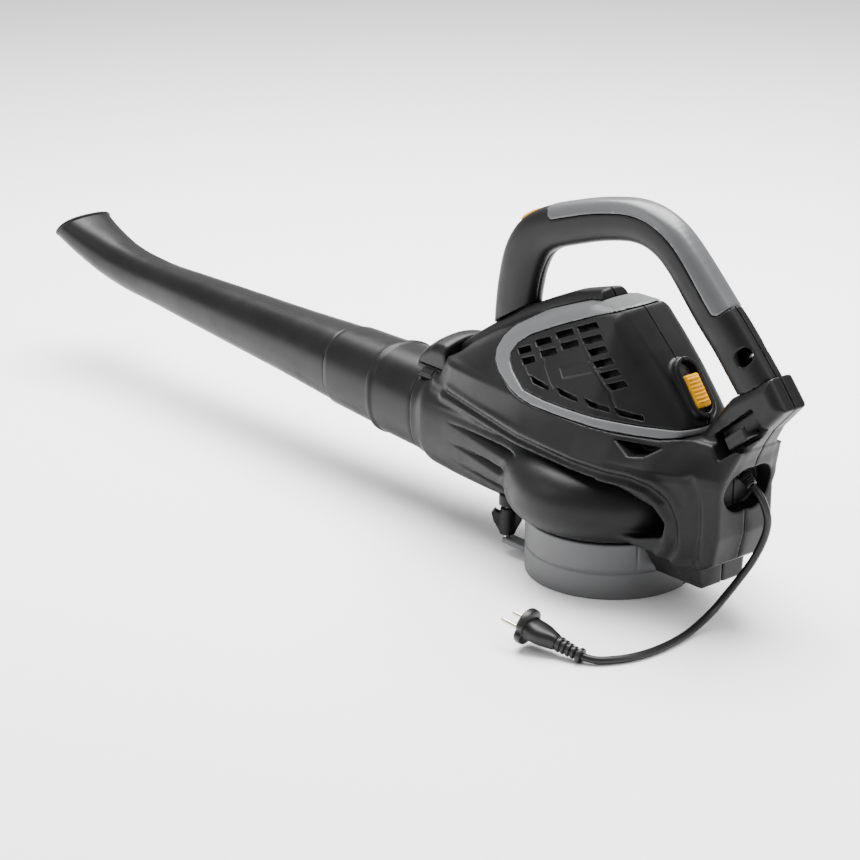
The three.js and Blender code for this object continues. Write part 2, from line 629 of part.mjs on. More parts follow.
function wingKnob() {
  const { x, y } = KNOB;
  const hub = bar([x, y, 20], [x, y, 49], 7.5, 20);
  const wing = sideCut([[-12, 48], [-14.5, 44], [-13.5, 37], [-6, 22], [6, 22], [13.5, 37], [14.5, 44],
    [12, 48], [7, 44], [-7, 44]], -3.5, 3.5);
  const turnedWing = wing.rotate([0, 0, 45]).translate(x, y, 0);
  return cut(joined(hub, turnedWing), bar([x, y, 0], [x, y, 60], 3.3, 16));
}

const knobStud = () => bar([KNOB.x, KNOB.y, 11], [KNOB.x, KNOB.y, 59], 3, 16);

// ---------------------------------------------------------------- motor and fan

function motorPlate() {
  const plate = bar([0, 0, FLOOR_OF_MOTOR_ROOM + GAP], [0, 0, 138], 66, 36);
  const seat = bar([0, 0, 123], [0, 0, 148], 18, 24);
  const bearingSeat = bar([0, 0, 139], [0, 0, 160], 13.3, 24);
  const shaftHole = bar([0, 0, 100], [0, 0, 145], 6.5, 20);
  return cut(joined(plate, seat), bearingSeat, shaftHole);
}

function motorBracket() {
  const bridge = box(-58, 58, -16, 16, 247, 259);
  const legs = joined(box(-58, -50, -10, 10, 138 + GAP, 248), box(50, 58, -10, 10, 138 + GAP, 248));
  const seat = bar([0, 0, 249], [0, 0, 262], 11.3, 24);
  const shaftHole = bar([0, 0, 240], [0, 0, 262], 5.5, 20);
  return cut(joined(bridge, legs), seat, shaftHole, box(40, 70, -20, 20, 256, 262));
}

const lowerBearing = () => tubeRing(13, 5.1, 139.3, 147.3, 24);
const upperBearing = () => tubeRing(11, 4.1, 249.3, 256.3, 24);

function rotorShaft() {
  return turned([[0, 62], [5, 62], [5, 147.6], [6, 147.6], [6, 246.5], [4, 246.5], [4, 257.5],
    [0, 257.5]], 24);
}

function coilSlots(clearance) {
  return [60, -60].map((angle) => box(28 - clearance, 39 + clearance, -4 - clearance, 4 + clearance, 160, 225)
    .rotate([0, 0, angle]));
}

function statorCore() {
  const ring = tubeRing(45, 26, 176, 208, 32);
  const slots = joined(...coilSlots(0.4), ...coilSlots(0.4).map((slot) => slot.rotate([0, 0, 180])));
  return cut(ring, slots.rotate([0, 0, 90]));
}

function fieldCoil(side) {
  const sector = sideSector(28, 39, 64);
  const ends = joined(sector(168, 175.6), sector(208.4, 216));
  const runs = joined(...coilSlots(0)).intersect(box(-60, 60, -60, 60, 169, 215));
  return joined(ends, runs).rotate([0, 0, side > 0 ? 90 : -90]);
}

// A ring sector centred on +X, drawn between two heights.
function sideSector(inner, outer, halfAngle) {
  const shape = new THREE.Shape();
  const a = THREE.MathUtils.degToRad(halfAngle);
  shape.absarc(0, 0, outer, -a, a, false);
  shape.absarc(0, 0, inner, a, -a, true);
  return (z0, z1) => {
    const extrusion = { depth: z1 - z0, bevelEnabled: false, curveSegments: 10 };
    const geometry = new THREE.ExtrudeGeometry(shape, extrusion);
    geometry.translate(0, 0, z0);
    return solid(geometry);
  };
}

function armatureCore() {
  const slots = [];
  for (let i = 0; i < 12; i++) slots.push(box(19, 30, -1.2, 1.2, 160, 230).rotate([0, 0, i * 30]));
  return cut(tubeRing(25, 6.3, 175, 209, 36), ...slots);
}

const commutator = () => tubeRing(14, 6.3, 226, 242, 24);

function brushHolder(side) {
  const body = cut(box(16, 46, -7, 7, 227, 241), box(10, 44, -4.4, 4.4, 229.6, 238.4));
  return side > 0 ? body : body.rotate([0, 0, 180]);
}

function brush(side) {
  const body = box(14.3, 30, -4, 4, 230, 238);
  return side > 0 ? body : body.rotate([0, 0, 180]);
}

function bladed(hub, bladeRange, heights, count, thickness) {
  const blades = [];
  for (let i = 0; i < count; i++) {
    const blade = box(bladeRange[0], bladeRange[1], -thickness / 2, thickness / 2, heights[0], heights[1])
      .translate(0, 8, 0).rotate([0, 0, (360 / count) * i]);
    blades.push(blade);
  }
  return joined(hub, ...blades);
}

function coolingFan() {
  const hub = joined(tubeRing(16, 6.3, 150, 160, 24), tubeRing(42, 10, 158, 160, 32));
  return bladed(hub, [13, 40], [150, 159], 9, 2);
}

function impeller() {
  const hub = joined(tubeRing(16, 5.3, 78, 112, 24), tubeRing(80, 10, 109, 112, 40));
  return bladed(hub, [12, 78], [78, 110], 8, 2.4);
}

const impellerWasher = () => tubeRing(12, 5.3, 74.5, 77.7, 20);
const impellerNut = () => cut(bar([0, 0, 64], [0, 0, 74.2], 9, 6), bar([0, 0, 60], [0, 0, 80], 5.3));

// ---------------------------------------------------------------- cable, gland and plug

const GLAND_TIP = [-178.4, -9, 136.6];

function cableGland() {
  const spigot = bar([-156, -9, 148], [-165, -9, 148], 5, 16);
  const collar = bar([-163.4, -9, 148], [-166.4, -9, 148], 7.5, 20);
  const sleeve = bar([-167.3, -9, 144.3], GLAND_TIP, 6.4, 16, 5.2);
  return joined(spigot, collar, sleeve);
}

// The hook stands in the pocket beside the handle's rear foot; a loop of cable hangs over it.
function cableHook() {
  const arm = tiltedBlock(HOOK_POCKET, [-15, 13], [11 + GAP, 29], [-9, -3]);
  const lip = tiltedBlock(HOOK_POCKET, [-15, 13], [25, 29], [-9, 3]);
  return joined(arm, lip);
}

// Hand-chosen route: out of the gland, down behind the machine, along the floor to the plug.
const CORD_ROUTE = [
  [-179.2, -9, 136], [-187.2, -10, 129], [-192.8, -12, 118], [-195, -14, 106], [-192.5, -15.2, 92],
  [-187, -14.4, 76], [-179.4, -11, 58], [-172, -3, 41], [-167.5, 9, 26.5], [-166.5, 24, 15.5],
  [-168, 42, 8.6], [-171.5, 62, 5], [-175.5, 84, 4.1], [-178, 106, 4], [-177.5, 128, 4],
  [-173.5, 147, 4.1], [-166.5, 162.5, 4.3], [-158.7, 173.6, 4.9], [-150, 179.7, 6.1],
];

function cord() {
  const curve = new THREE.CatmullRomCurve3(CORD_ROUTE.map((p) => new THREE.Vector3(...p)));
  const steps = 24;
  const frames = curve.computeFrenetFrames(steps, false);
  const rings = [];
  for (let i = 0; i <= steps; i++) {
    const centre = curve.getPointAt(i / steps);
    rings.push(roundedSection(CORD_RADIUS, CORD_RADIUS, 2, 10).map(([u, v]) => centre.clone()
      .addScaledVector(frames.normals[i], u).addScaledVector(frames.binormals[i], v).toArray()));
  }
  return loft(rings);
}

// The plug is drawn straight, its face at x = 0, and then laid in its place.
const laid = (body) => body.rotate([0, -PLUG_LIFT, PLUG_SWING]).translate(...PLUG_FACE);

const plugLoft = (stations) => loft(stations.map(([back, halfWidth, halfHeight]) =>
  roundedSection(halfWidth, halfHeight, 2.5, 20).map(([y, z]) => [-back, y, z])));

function plugBody() {
  const shell = plugLoft([[0, 16.5, 12], [3, 17.6, 13], [14, 17.4, 13], [22, 14, 11.5], [32, 11, 10],
    [38, 9, 8.5]]);
  const pinHoles = joined(...[-9.5, 9.5].map((y) => bar([-9, y, 0], [2, y, 0], 2.7, 14)));
  return laid(cut(shell, pinHoles));
}

function plugPin(side) {
  const y = 9.5 * side;
  return laid(joined(bar([-8.6, y, 0], [18, y, 0], 2.4, 14), bar([17, y, 0], [19, y, 0], 2.4, 14, 1.5)));
}

function plugRelief() {
  return laid(plugLoft([[38 + GAP, 8, 7.5], [50.3, 6.8, 6.6], [65.3, 5.4, 5.4], [66.7, 5.2, 5.2]]));
}

// ---------------------------------------------------------------- fasteners

function housingScrew([x, z]) {
  return joined(bar([x, -16, z], [x, 11.5, z], 2, 12), bar([x, -17.5, z], [x, -14.4, z], 4.2, 16));
}

// ---------------------------------------------------------------- the machine

const housing = joined(cut(housingOutside(), housingInside()), screwPosts());
const finishedHousing = cut(housing, housingCuts());
place('housing_left', finishedHousing.intersect(leftSide()), blackShell);
place('housing_right', finishedHousing.intersect(rightSide()), blackShell);
place('motor_cover_left', motorCover(1), blackShell);
place('motor_cover_right', motorCover(-1), blackShell);
place('trim_frame', trimFrame(), greyTrim);

const handle = handleShell();
place('handle_left', handle.intersect(leftSide()), blackShell);
place('handle_right', handle.intersect(rightSide()), blackShell);
place('grip_insert', gripInsert(), softGrip);
place('strap_pin', tiltedBar(strapFrame, 0, [-13, 10.5], 2.5), steel);

place('thumb_button', thumbButton(), yellowPlastic);
place('thumb_microswitch', thumbMicroswitch(), innerPlastic);
place('slide_switch', slideSwitch(), yellowPlastic);
place('switch_plate', switchPlate(), innerPlastic);
place('switch_body', switchBody(), innerPlastic);
place('control_board', box(-112, -72, -28, 28, 140, 142), boardGreen);

place('latch_hood', latchHood(), blackShell);
place('latch_button', latchButton(), blackShell);
place('lower_tube', lowerTube(), blackTube);
place('nozzle_tube', nozzleTube(), blackTube);

place('intake_ring', intakeRing(), greyRing);
place('intake_grille', intakeGrille(), innerPlastic);
place('ring_hinge_pin', ringHingePin(), steel);
place('wing_knob', wingKnob(), blackShell);
place('knob_stud', knobStud(), steel);

place('motor_plate', motorPlate(), innerPlastic);
place('motor_bracket', motorBracket(), innerPlastic);
place('lower_bearing', lowerBearing(), steel);
place('upper_bearing', upperBearing(), steel);
place('stator_core', statorCore(), laminations);
place('field_coil_left', fieldCoil(1), copper);
place('field_coil_right', fieldCoil(-1), copper);
place('rotor_shaft', rotorShaft(), steel);
place('armature_core', armatureCore(), laminations);
place('commutator', commutator(), copper);
place('brush_holder_front', brushHolder(1), brass);
place('brush_holder_rear', brushHolder(-1), brass);
place('brush_front', brush(1), carbon);
place('brush_rear', brush(-1), carbon);
place('cooling_fan', coolingFan(), nylon);
place('impeller', impeller(), innerPlastic);
place('impeller_washer', impellerWasher(), steel);
place('impeller_nut', impellerNut(), steel);
SCREW_SPOTS.forEach((spot, i) => place(`housing_screw_${i + 1}`, housingScrew(spot), steel));

place('cable_hook', cableHook(), blackShell);
place('cable_gland', cableGland(), rubber);
place('cord', cord(), rubber, leadGroup);
place('plug_relief', plugRelief(), rubber, leadGroup);
place('plug_body', plugBody(), rubber, leadGroup);
place('plug_pin_a', plugPin(1), steel, leadGroup);
place('plug_pin_b', plugPin(-1), steel, leadGroup);

// The origin goes to the middle of the machine's footprint, on the floor.
const footprint = new THREE.Box3().setFromObject(machine);
const centre = footprint.getCenter(new THREE.Vector3());
const part = new THREE.Group();
part.add(machine, leadGroup);
part.position.set(-centre.x, -centre.y, -footprint.min.z);

export default part;
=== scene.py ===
"""Looks of the leaf vacuum mulcher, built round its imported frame.

Everything is drawn in millimetres round the fan axis, as the part itself is drawn, and each mesh is
moved into the frame (metres, origin under the middle of the machine) when it is made. Moulded shells
are distance fields on a grid, skinned into quads; tubes, the cord and turned pieces are lofts.
"""
import json
import math
from functools import reduce

import bpy
import numpy as np
from mathutils import Matrix, Vector


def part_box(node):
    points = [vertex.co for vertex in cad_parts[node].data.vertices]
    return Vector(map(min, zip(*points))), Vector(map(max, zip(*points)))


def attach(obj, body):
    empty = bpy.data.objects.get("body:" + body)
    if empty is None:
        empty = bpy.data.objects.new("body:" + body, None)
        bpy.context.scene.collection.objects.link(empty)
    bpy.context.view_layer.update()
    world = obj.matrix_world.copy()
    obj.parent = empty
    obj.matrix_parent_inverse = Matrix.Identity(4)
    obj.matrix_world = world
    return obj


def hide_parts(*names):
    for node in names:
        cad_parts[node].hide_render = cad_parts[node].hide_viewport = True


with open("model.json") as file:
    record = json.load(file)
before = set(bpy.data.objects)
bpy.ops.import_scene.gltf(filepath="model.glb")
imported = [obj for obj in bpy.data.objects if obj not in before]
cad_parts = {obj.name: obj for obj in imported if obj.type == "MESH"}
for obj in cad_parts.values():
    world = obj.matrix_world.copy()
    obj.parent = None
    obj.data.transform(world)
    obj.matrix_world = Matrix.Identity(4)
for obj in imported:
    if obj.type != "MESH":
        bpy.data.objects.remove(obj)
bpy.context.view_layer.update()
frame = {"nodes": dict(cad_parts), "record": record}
nodes = frame["nodes"]

# ------------------------------------------------------------------ places and driving sizes

grille_low, grille_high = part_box("intake_grille")
FAN_AXIS = Vector(((grille_low.x + grille_high.x) / 2, (grille_low.y + grille_high.y) / 2, 0))
MM = 0.001
TO_FRAME = Matrix.Translation(FAN_AXIS) @ Matrix.Scale(MM, 4)

WALL = 3.4                # moulded wall
SECTION_POWER = 2.4       # how square the sections of the tubes and the fan casing are
SEAM = 0.35               # half the seam between the two shells
TUBE_AXIS_HEIGHT = 98.5   # blower tube axis at the fan axis, and its climb per millimetre forward
TUBE_RISE = 0.0355
RING_TOP = 58
CASE_BASE = 60
FRAME_GAP_RADIUS = 118
GLAND_Y, GLAND_Z = -9, 148
HINGE_X, HINGE_Z = -98, 45
SCREWS = ((-142, 49), (-206, 222), (184, 176))

# ------------------------------------------------------------------ camera and cord

CAMERA_OFFSET = Vector((-1.6967, 1.6967, 1.0013))
CAMERA_PITCH, CAMERA_YAW = math.radians(-19.67), math.radians(-40.70)
CAMERA_LENS = 107.9


def linked(name, data):
    """A new object in the scene."""
    made = bpy.data.objects.new(name, data)
    bpy.context.scene.collection.objects.link(made)
    return made


def make_camera():
    data = bpy.data.cameras.new("camera")
    data.lens = CAMERA_LENS
    data.sensor_width = 36
    data.clip_end = 50
    camera = linked("camera", data)
    camera.location = FAN_AXIS + CAMERA_OFFSET
    level = math.cos(CAMERA_PITCH)
    forward = Vector((math.cos(CAMERA_YAW) * level, math.sin(CAMERA_YAW) * level, math.sin(CAMERA_PITCH)))
    camera.rotation_mode = "QUATERNION"
    camera.rotation_quaternion = forward.to_track_quat("-Z", "Y")
    bpy.context.scene.camera = camera


CORD_RADIUS = 0.0038
# Route, metres from the fan axis: out of the gland, down behind, along the floor to the plug.
CORD_ROUTE = [
    (-0.1792, -0.009, 0.136), (-0.1872, -0.01, 0.129), (-0.1928, -0.012, 0.118),
    (-0.195, -0.014, 0.106), (-0.1925, -0.0152, 0.092), (-0.187, -0.0144, 0.076),
    (-0.1794, -0.011, 0.058), (-0.172, -0.003, 0.041), (-0.1675, 0.009, 0.0265),
    (-0.1665, 0.024, 0.0155), (-0.168, 0.042, 0.0086), (-0.1715, 0.062, 0.005),
    (-0.1755, 0.084, 0.0041), (-0.178, 0.106, 0.004), (-0.1775, 0.128, 0.004),
    (-0.1735, 0.147, 0.0041), (-0.1665, 0.1625, 0.0043), (-0.1587, 0.1736, 0.0049),
    (-0.1478, 0.1802, 0.0066),
]


def catmull_rom(points, steps):
    """Points on a smooth curve through the given ones, `steps` to each stretch."""
    padded = [points[0] * 2 - points[1], *points, points[-1] * 2 - points[-2]]
    found = []
    for a, b, c, d in zip(padded, padded[1:], padded[2:], padded[3:]):
        for i in range(steps):
            t = i / steps
            found.append(0.5 * (2 * b + (c - a) * t + (2 * a - 5 * b + 4 * c - d) * t**2
                                + (3 * b - 3 * c + d - a) * t**3))
    return [*found, points[-1]]


def make_cord():
    route = catmull_rom([FAN_AXIS + Vector(p) for p in CORD_ROUTE], 8)
    data = bpy.data.curves.new("mains_lead", "CURVE")
    data.dimensions = "3D"
    data.bevel_depth = CORD_RADIUS
    data.bevel_resolution = 5
    spline = data.splines.new("POLY")
    spline.points.add(len(route) - 1)
    for point, place in zip(spline.points, route):
        point.co = (*place, 1)
    spline.use_smooth = True
    return linked("mains_lead", data)


# ------------------------------------------------------------------ meshes

def mesh_object(name, points, faces, smooth_angle=40):
    """A mesh given in millimetres round the fan axis, placed in the frame."""
    mesh = bpy.data.meshes.new(name)
    mesh.from_pydata([tuple(map(float, p)) for p in points], [], [tuple(map(int, f)) for f in faces])
    mesh.transform(TO_FRAME)
    mesh.update()
    mesh.polygons.foreach_set("use_smooth", np.ones(len(mesh.polygons), bool))
    mesh.set_sharp_from_angle(angle=math.radians(smooth_angle))
    return linked(name, mesh)


def mirrored(points, faces):
    """The same mesh on the other side of the middle plane."""
    return points * (1, -1, 1), faces[:, ::-1]


# ------------------------------------------------------------------ distance fields

class Grid:
    """Sample points of a box, in millimetres, as three broadcastable arrays."""

    def __init__(self, low, high, step):
        self.low = np.array(low, float)
        self.step = step
        counts = np.ceil((np.array(high) - self.low) / step).astype(int) + 1
        self.axes = [self.low[i] + step * np.arange(counts[i]) for i in range(3)]
        self.x = self.axes[0][:, None, None]
        self.y = self.axes[1][None, :, None]
        self.z = self.axes[2][None, None, :]
        self.side = self.axes[0][:, None], self.axes[2][None, :]


def meet(*fields):
    """Where all are inside, with sharp edges."""
    return reduce(np.maximum, fields)


def join(*fields):
    return reduce(np.minimum, fields)


def carve(base, tool):
    return np.maximum(base, -tool)


def fillet_union(a, b, radius):
    both = np.hypot(np.maximum(radius - a, 0), np.maximum(radius - b, 0))
    return np.maximum(radius, np.minimum(a, b)) - both


def round_meet(a, b, radius):
    """Where both are inside, with the edge between them rounded."""
    both = np.hypot(np.maximum(a + radius, 0), np.maximum(b + radius, 0))
    return np.minimum(-radius, np.maximum(a, b)) + both


def round_cut(base, tool, radius):
    return round_meet(base, -tool, radius)


def path_distance(points, u, v):
    """Distance to an open line of (u, v) points."""
    nearest = np.full(np.broadcast_shapes(u.shape, v.shape), 1e18)
    for (au, av), (bu, bv) in zip(points, points[1:]):
        du, dv = bu - au, bv - av
        t = np.clip(((u - au) * du + (v - av) * dv) / (du * du + dv * dv), 0, 1)
        nearest = np.minimum(nearest, (u - au - t * du) ** 2 + (v - av - t * dv) ** 2)
    return np.sqrt(nearest)


def outline_field(points, u, v):
    """Signed distance to a closed outline of (u, v) points."""
    closed = [*points, points[0]]
    inside = np.zeros(np.broadcast_shapes(u.shape, v.shape), bool)
    for (au, av), (bu, bv) in zip(closed, closed[1:]):
        if bv != av:
            crosses = (av > v) != (bv > v)
            inside ^= crosses & (u < (v - av) / (bv - av) * (bu - au) + au)
    return np.where(inside, -1, 1) * path_distance(closed, u, v)


def side_outline(outline, grid):
    """An outline of the side view, straight through from left to right."""
    return outline_field(outline, *grid.side)[:, None, :]


def ridge(distance, half_width):
    """A soft bump of height 1 along a line."""
    return np.exp(-((distance / half_width) ** 2))


def block_field(x, y, z, centre, halves, radius):
    deltas = [np.abs(axis - c) - h + radius for axis, c, h in zip((x, y, z), centre, halves)]
    outside = np.sqrt(sum(np.maximum(d, 0) ** 2 for d in deltas))
    return outside + np.minimum(meet(*deltas), 0) - radius


def smooth_profile(at, stations, column, blur=6):
    """Values between stations, with the corners at the stations softened."""
    order = np.argsort([s[0] for s in stations])
    places = np.array([stations[i][0] for i in order], float)
    values = np.array([stations[i][column] for i in order], float)
    shifts = np.linspace(-blur, blur, 9)
    weights = np.cos(shifts / blur * math.pi / 2.2)
    total = sum(w * np.interp(at + s, places, values) for s, w in zip(shifts, weights))
    return total / weights.sum()


def slope_scale(widths, step):
    """What turns a width's error into a distance, for widths over a side view."""
    along, up = np.gradient(widths, step)
    return 1 / np.sqrt(1 + along**2 + up**2)


def skin(values, grid):
    """Quads round the zero surface of a field, with every corner moved onto the surface."""
    strides = np.array([values.shape[1] * values.shape[2], values.shape[2], 1])
    rings, places = [], []
    for axis in range(3):
        u, v = (axis + 1) % 3, (axis + 2) % 3
        lower = [slice(None)] * 3
        upper = [slice(None)] * 3
        lower[axis], upper[axis] = slice(None, -1), slice(1, None)
        low, high = values[tuple(lower)], values[tuple(upper)]
        at = np.argwhere((low < 0) != (high < 0))
        from_low, from_high = low[tuple(at.T)], high[tuple(at.T)]
        place = at.astype(float)
        place[:, axis] += from_low / (from_low - from_high)
        ring = []
        for du, dv in ((0, 0), (1, 0), (1, 1), (0, 1)):
            cell = at.copy()
            cell[:, u] -= du
            cell[:, v] -= dv
            ring.append(cell @ strides)
        ring = np.stack(ring, 1)
        rings.append(np.where((from_low < 0)[:, None], ring, ring[:, ::-1]))
        places.append(np.repeat(place[:, None], 4, 1))
    rings, places = np.concatenate(rings), np.concatenate(places).reshape(-1, 3)
    _, corner = np.unique(rings.ravel(), return_inverse=True)
    share = np.bincount(corner)
    points = np.stack([np.bincount(corner, places[:, i]) / share for i in range(3)], 1)
    for _ in range(2):
        points -= surface_offset(values, points)
    return points * grid.step + grid.low, corner.reshape(-1, 4)


def skinned(name, field, grid):
    return mesh_object(name, *skin(field, grid))


def skinned_pair(left, right, field, grid):
    """The left piece, and its mirror image on the right."""
    points, faces = skin(field, grid)
    return mesh_object(left, points, faces), mesh_object(right, *mirrored(points, faces))


def sampled(values, points):
    """Field values between grid points."""
    limit = np.array(values.shape) - 2
    base = np.clip(np.floor(points).astype(int), 0, limit)
    part = points - base
    total = 0
    for corner in np.ndindex(2, 2, 2):
        weight = np.prod(np.where(corner, part, 1 - part), axis=1)
        total = total + weight * values[tuple((base + corner).T)]
    return total


def surface_offset(values, points):
    """How far, in cells, each point lies from the field's zero surface."""
    reach = 0.6
    slopes = []
    for i in range(3):
        side = np.zeros(3)
        side[i] = reach
        slopes.append((sampled(values, points + side) - sampled(values, points - side)) / (2 * reach))
    slopes = np.stack(slopes, 1)
    size = np.maximum((slopes**2).sum(1), 1e-6)
    move = slopes * (sampled(values, points) / size)[:, None]
    length = np.maximum(np.linalg.norm(move, axis=1), 1e-9)
    return move * np.minimum(1, 0.4 / length)[:, None]


# ------------------------------------------------------------------ the moulded body as fields

def tube_axis_z(x):
    return TUBE_AXIS_HEIGHT + TUBE_RISE * x


def tube_field(x, y, z, half_width, half_height):
    """Superellipse tube round the blower axis; the half sizes may change along x."""
    across = np.abs(y / half_width) ** SECTION_POWER
    up = np.abs((z - tube_axis_z(x)) / half_height) ** SECTION_POWER
    return ((across + up) ** (1 / SECTION_POWER) - 1) * np.minimum(half_width, half_height)


COLLAR_END = 249
DUCT = [(COLLAR_END, 52.5, 52.5), (236, 53, 54), (228, 57.5, 57.5), (190, 59, 59.5), (150, 62, 59),
        (90, 69, 56), (30, 83, 50)]
# Tapered flutes on the duct's sides: height of the top edge at the tip and at the casing.
FLUTES = [(121, 121), (101, 99), (80, 76)]
FLUTE_TIP, FLUTE_END = 182, 86


def duct_field(x, y, z):
    base = tube_field(x, y, z, smooth_profile(x, DUCT, 1), smooth_profile(x, DUCT, 2))
    base = base + flute_depth(x, z)
    ends = np.maximum(x - COLLAR_END, 10 - x)
    return round_meet(base, ends, 1.5)


def duct_room(x, y, z):
    room = tube_field(x, y, z, smooth_profile(x, DUCT, 1) - 3.8, smooth_profile(x, DUCT, 2) - 3.8)
    return np.maximum(room + flute_depth(x, z), 40 - x)


def flute_depth(x, z):
    depth = 0
    share = np.clip((FLUTE_TIP - x) / (FLUTE_TIP - FLUTE_END), 0, 1)
    for tip, end in FLUTES:
        top = tip + (end - tip) * share
        down = (top - z) / (3 + 9 * share)
        edge = np.clip((top - z) / 1.6, 0, 1)
        depth = depth + 9 * share**0.8 * edge * np.clip(1 - down, 0, 1) ** 1.3
    return depth


CASE_FLAT_RADIUS, CASE_ROUNDING = 58, 49
CASE_MIDDLE, CASE_UP, CASE_DOWN = 91, 40, 34.5


def fan_case_field(x, y, z):
    """The round casing: flat above and below, rounded at its side."""
    out = np.maximum(np.hypot(x, y) - CASE_FLAT_RADIUS, 0) / CASE_ROUNDING
    up = np.maximum((z - CASE_MIDDLE) / CASE_UP, (CASE_MIDDLE - z) / CASE_DOWN)
    section = (out**SECTION_POWER + up**SECTION_POWER) ** (1 / SECTION_POWER)
    return np.maximum((section - 1) * 38, CASE_BASE - z)


# Half widths of the deck and of the frame behind the casing, by height.
HULL_LEVELS = [
    (58, [(-60, 66), (-98, 58), (-124, 51), (-152, 39), (-170, 36)]),
    (90, [(-60, 74), (-100, 66), (-130, 56), (-152, 45), (-179, 38)]),
    (118, [(-60, 80), (-104, 70), (-134, 58), (-156, 45), (-178, 38)]),
    (134, [(240, 32), (212, 47), (140, 61), (55, 76), (-30, 84), (-70, 82), (-112, 71), (-138, 57),
           (-160, 45), (-178, 38)]),
    (144, [(243, 32), (216, 49), (140, 62), (55, 77), (-30, 85), (-70, 83), (-112, 72), (-139, 58),
           (-162, 45), (-180, 39)]),
    (152, [(243, 30), (216, 48), (140, 62), (55, 77), (-30, 84), (-70, 82), (-112, 71), (-139, 57),
           (-164, 44), (-183, 37)]),
    (178, [(206, 40), (186, 50), (135, 60), (55, 69), (-30, 71), (-70, 63), (-106, 48), (-132, 38),
           (-166, 34), (-195, 30)]),
]
HULL_SIDE = [(240, 132), (245, 140), (243, 152), (208, 160), (200, 182), (-196, 182), (-184, 152),
             (-179, 132), (-179, 92), (-172, 64), (-160, 56), (-132, 57), (-108, 65), (-60, 73),
             (-60, 132)]
LOWER_RIB = [(196, 141), (130, 138.5), (60, 135), (-50, 133), (-96, 133), (-112, 129), (-124, 119),
             (-130, 104), (-131, 88), (-127, 72), (-116, 60), (-100, 54)]
UPPER_RIB = [(184, 155), (134, 151), (66, 147), (0, 146), (-96, 147), (-118, 144), (-134, 134),
             (-142, 118), (-145, 96), (-141, 74), (-132, 58)]
RIB_VALLEY = [(190, 148), (132, 144.5), (60, 140.5), (-50, 139.5), (-100, 140), (-118, 135), (-132, 122),
              (-137, 104), (-138, 84), (-132, 68), (-120, 56)]
REAR_VALLEY = [(-152, 148), (-157, 128), (-157, 96), (-152, 66)]
# Each rib or valley with its height and half width.
HULL_RELIEF = [(LOWER_RIB, 2.4, 4.2), (UPPER_RIB, 2.2, 4.4), (RIB_VALLEY, -2.6, 4.0),
               (REAR_VALLEY, -3.2, 5.0)]
# Middle of the opening between casing and frame, and how far it reaches past this on all sides.
WINDOW = [(-60, 117), (-94, 116), (-113, 107), (-119.5, 99), (-117, 93), (-102, 89), (-60, 85)]
WINDOW_REACH = 10


def hull_widths(x, z):
    """Half width of deck and frame over the side view, with its ribs and valleys."""
    heights = [level for level, _ in HULL_LEVELS]
    by_level = np.stack([smooth_profile(x, stations, 1, 7) for _, stations in HULL_LEVELS])
    place = np.interp(z, heights, range(len(heights)))
    below = np.minimum(place.astype(int), len(heights) - 2)
    share = place - below
    columns = np.arange(len(x))[:, None]
    widths = by_level[below[None, :], columns] * (1 - share) + by_level[below[None, :] + 1, columns] * share
    for line, height, half_width in HULL_RELIEF:
        widths += height * ridge(path_distance(line, x[:, None], z[None, :]), half_width)
    return widths


def hull_field(grid):
    x, z = grid.axes[0], grid.axes[2]
    widths = hull_widths(x, z)
    scale = slope_scale(widths, grid.step)
    across = (np.abs(grid.y) - widths[:, None, :]) * scale[:, None, :]
    body = round_meet(across, side_outline(HULL_SIDE, grid), 4)
    body = round_cut(body, side_outline(WINDOW, grid) - WINDOW_REACH, 3)
    gap = np.hypot(grid.x, grid.y) - FRAME_GAP_RADIUS
    gap = round_meet(gap, np.maximum(79 - grid.z, grid.z - 130.5), 3)
    return round_cut(body, gap, 3.5)


# The dome over the motor: x, half width at its base, half width of the crown, height of the crown.
DOME = [(222, 34, 11, 166), (206, 42, 15, 184), (183, 53, 21, 201), (150, 59, 26, 219), (114, 63, 29, 238),
        (77, 67, 31, 256), (46, 70, 33, 270), (10, 71, 34, 281), (-2, 71, 34, 284), (-38, 69, 34, 284),
        (-60, 64, 34, 263), (-85, 56, 32, 239), (-110, 44, 30, 212), (-122, 37, 29, 198), (-130, 30, 27, 184),
        (-133, 28, 25, 176)]
DOME_BASE = 178
SPINE = [(212, 187), (203, 194), (183, 208), (150, 229), (114, 250), (77, 267.5), (46, 281), (6, 292)]


def dome_widths(x, z):
    base, crown, top = (smooth_profile(x, DOME, i, 7)[:, None] for i in (1, 2, 3))
    down = (top - z[None, :]) / np.maximum(top - np.minimum(DOME_BASE, top - 16), 1)
    share = np.minimum(down + 0.22 * down * (1 - down), 1)
    share = np.where(down > 1, 1, share)
    return crown + (base - crown) * share


def dome_field(grid):
    """The dome without its spine, closed below and behind."""
    x, z = grid.axes[0], grid.axes[2]
    widths = dome_widths(x, z)
    scale = slope_scale(widths, grid.step)
    side = (np.abs(grid.y) - widths[:, None, :]) * scale[:, None, :]
    top = smooth_profile(x, DOME, 3, 5)
    steep = 1 / np.sqrt(1 + np.gradient(top, grid.step) ** 2)
    above = (grid.z - top[:, None, None] + 1.5 * (grid.y / 26) ** 2) * steep[:, None, None]
    body = round_meet(side, above, 10)
    ends = meet(-133 - grid.x, grid.x - 222, 150 - grid.z)
    return round_meet(body, ends, 3)


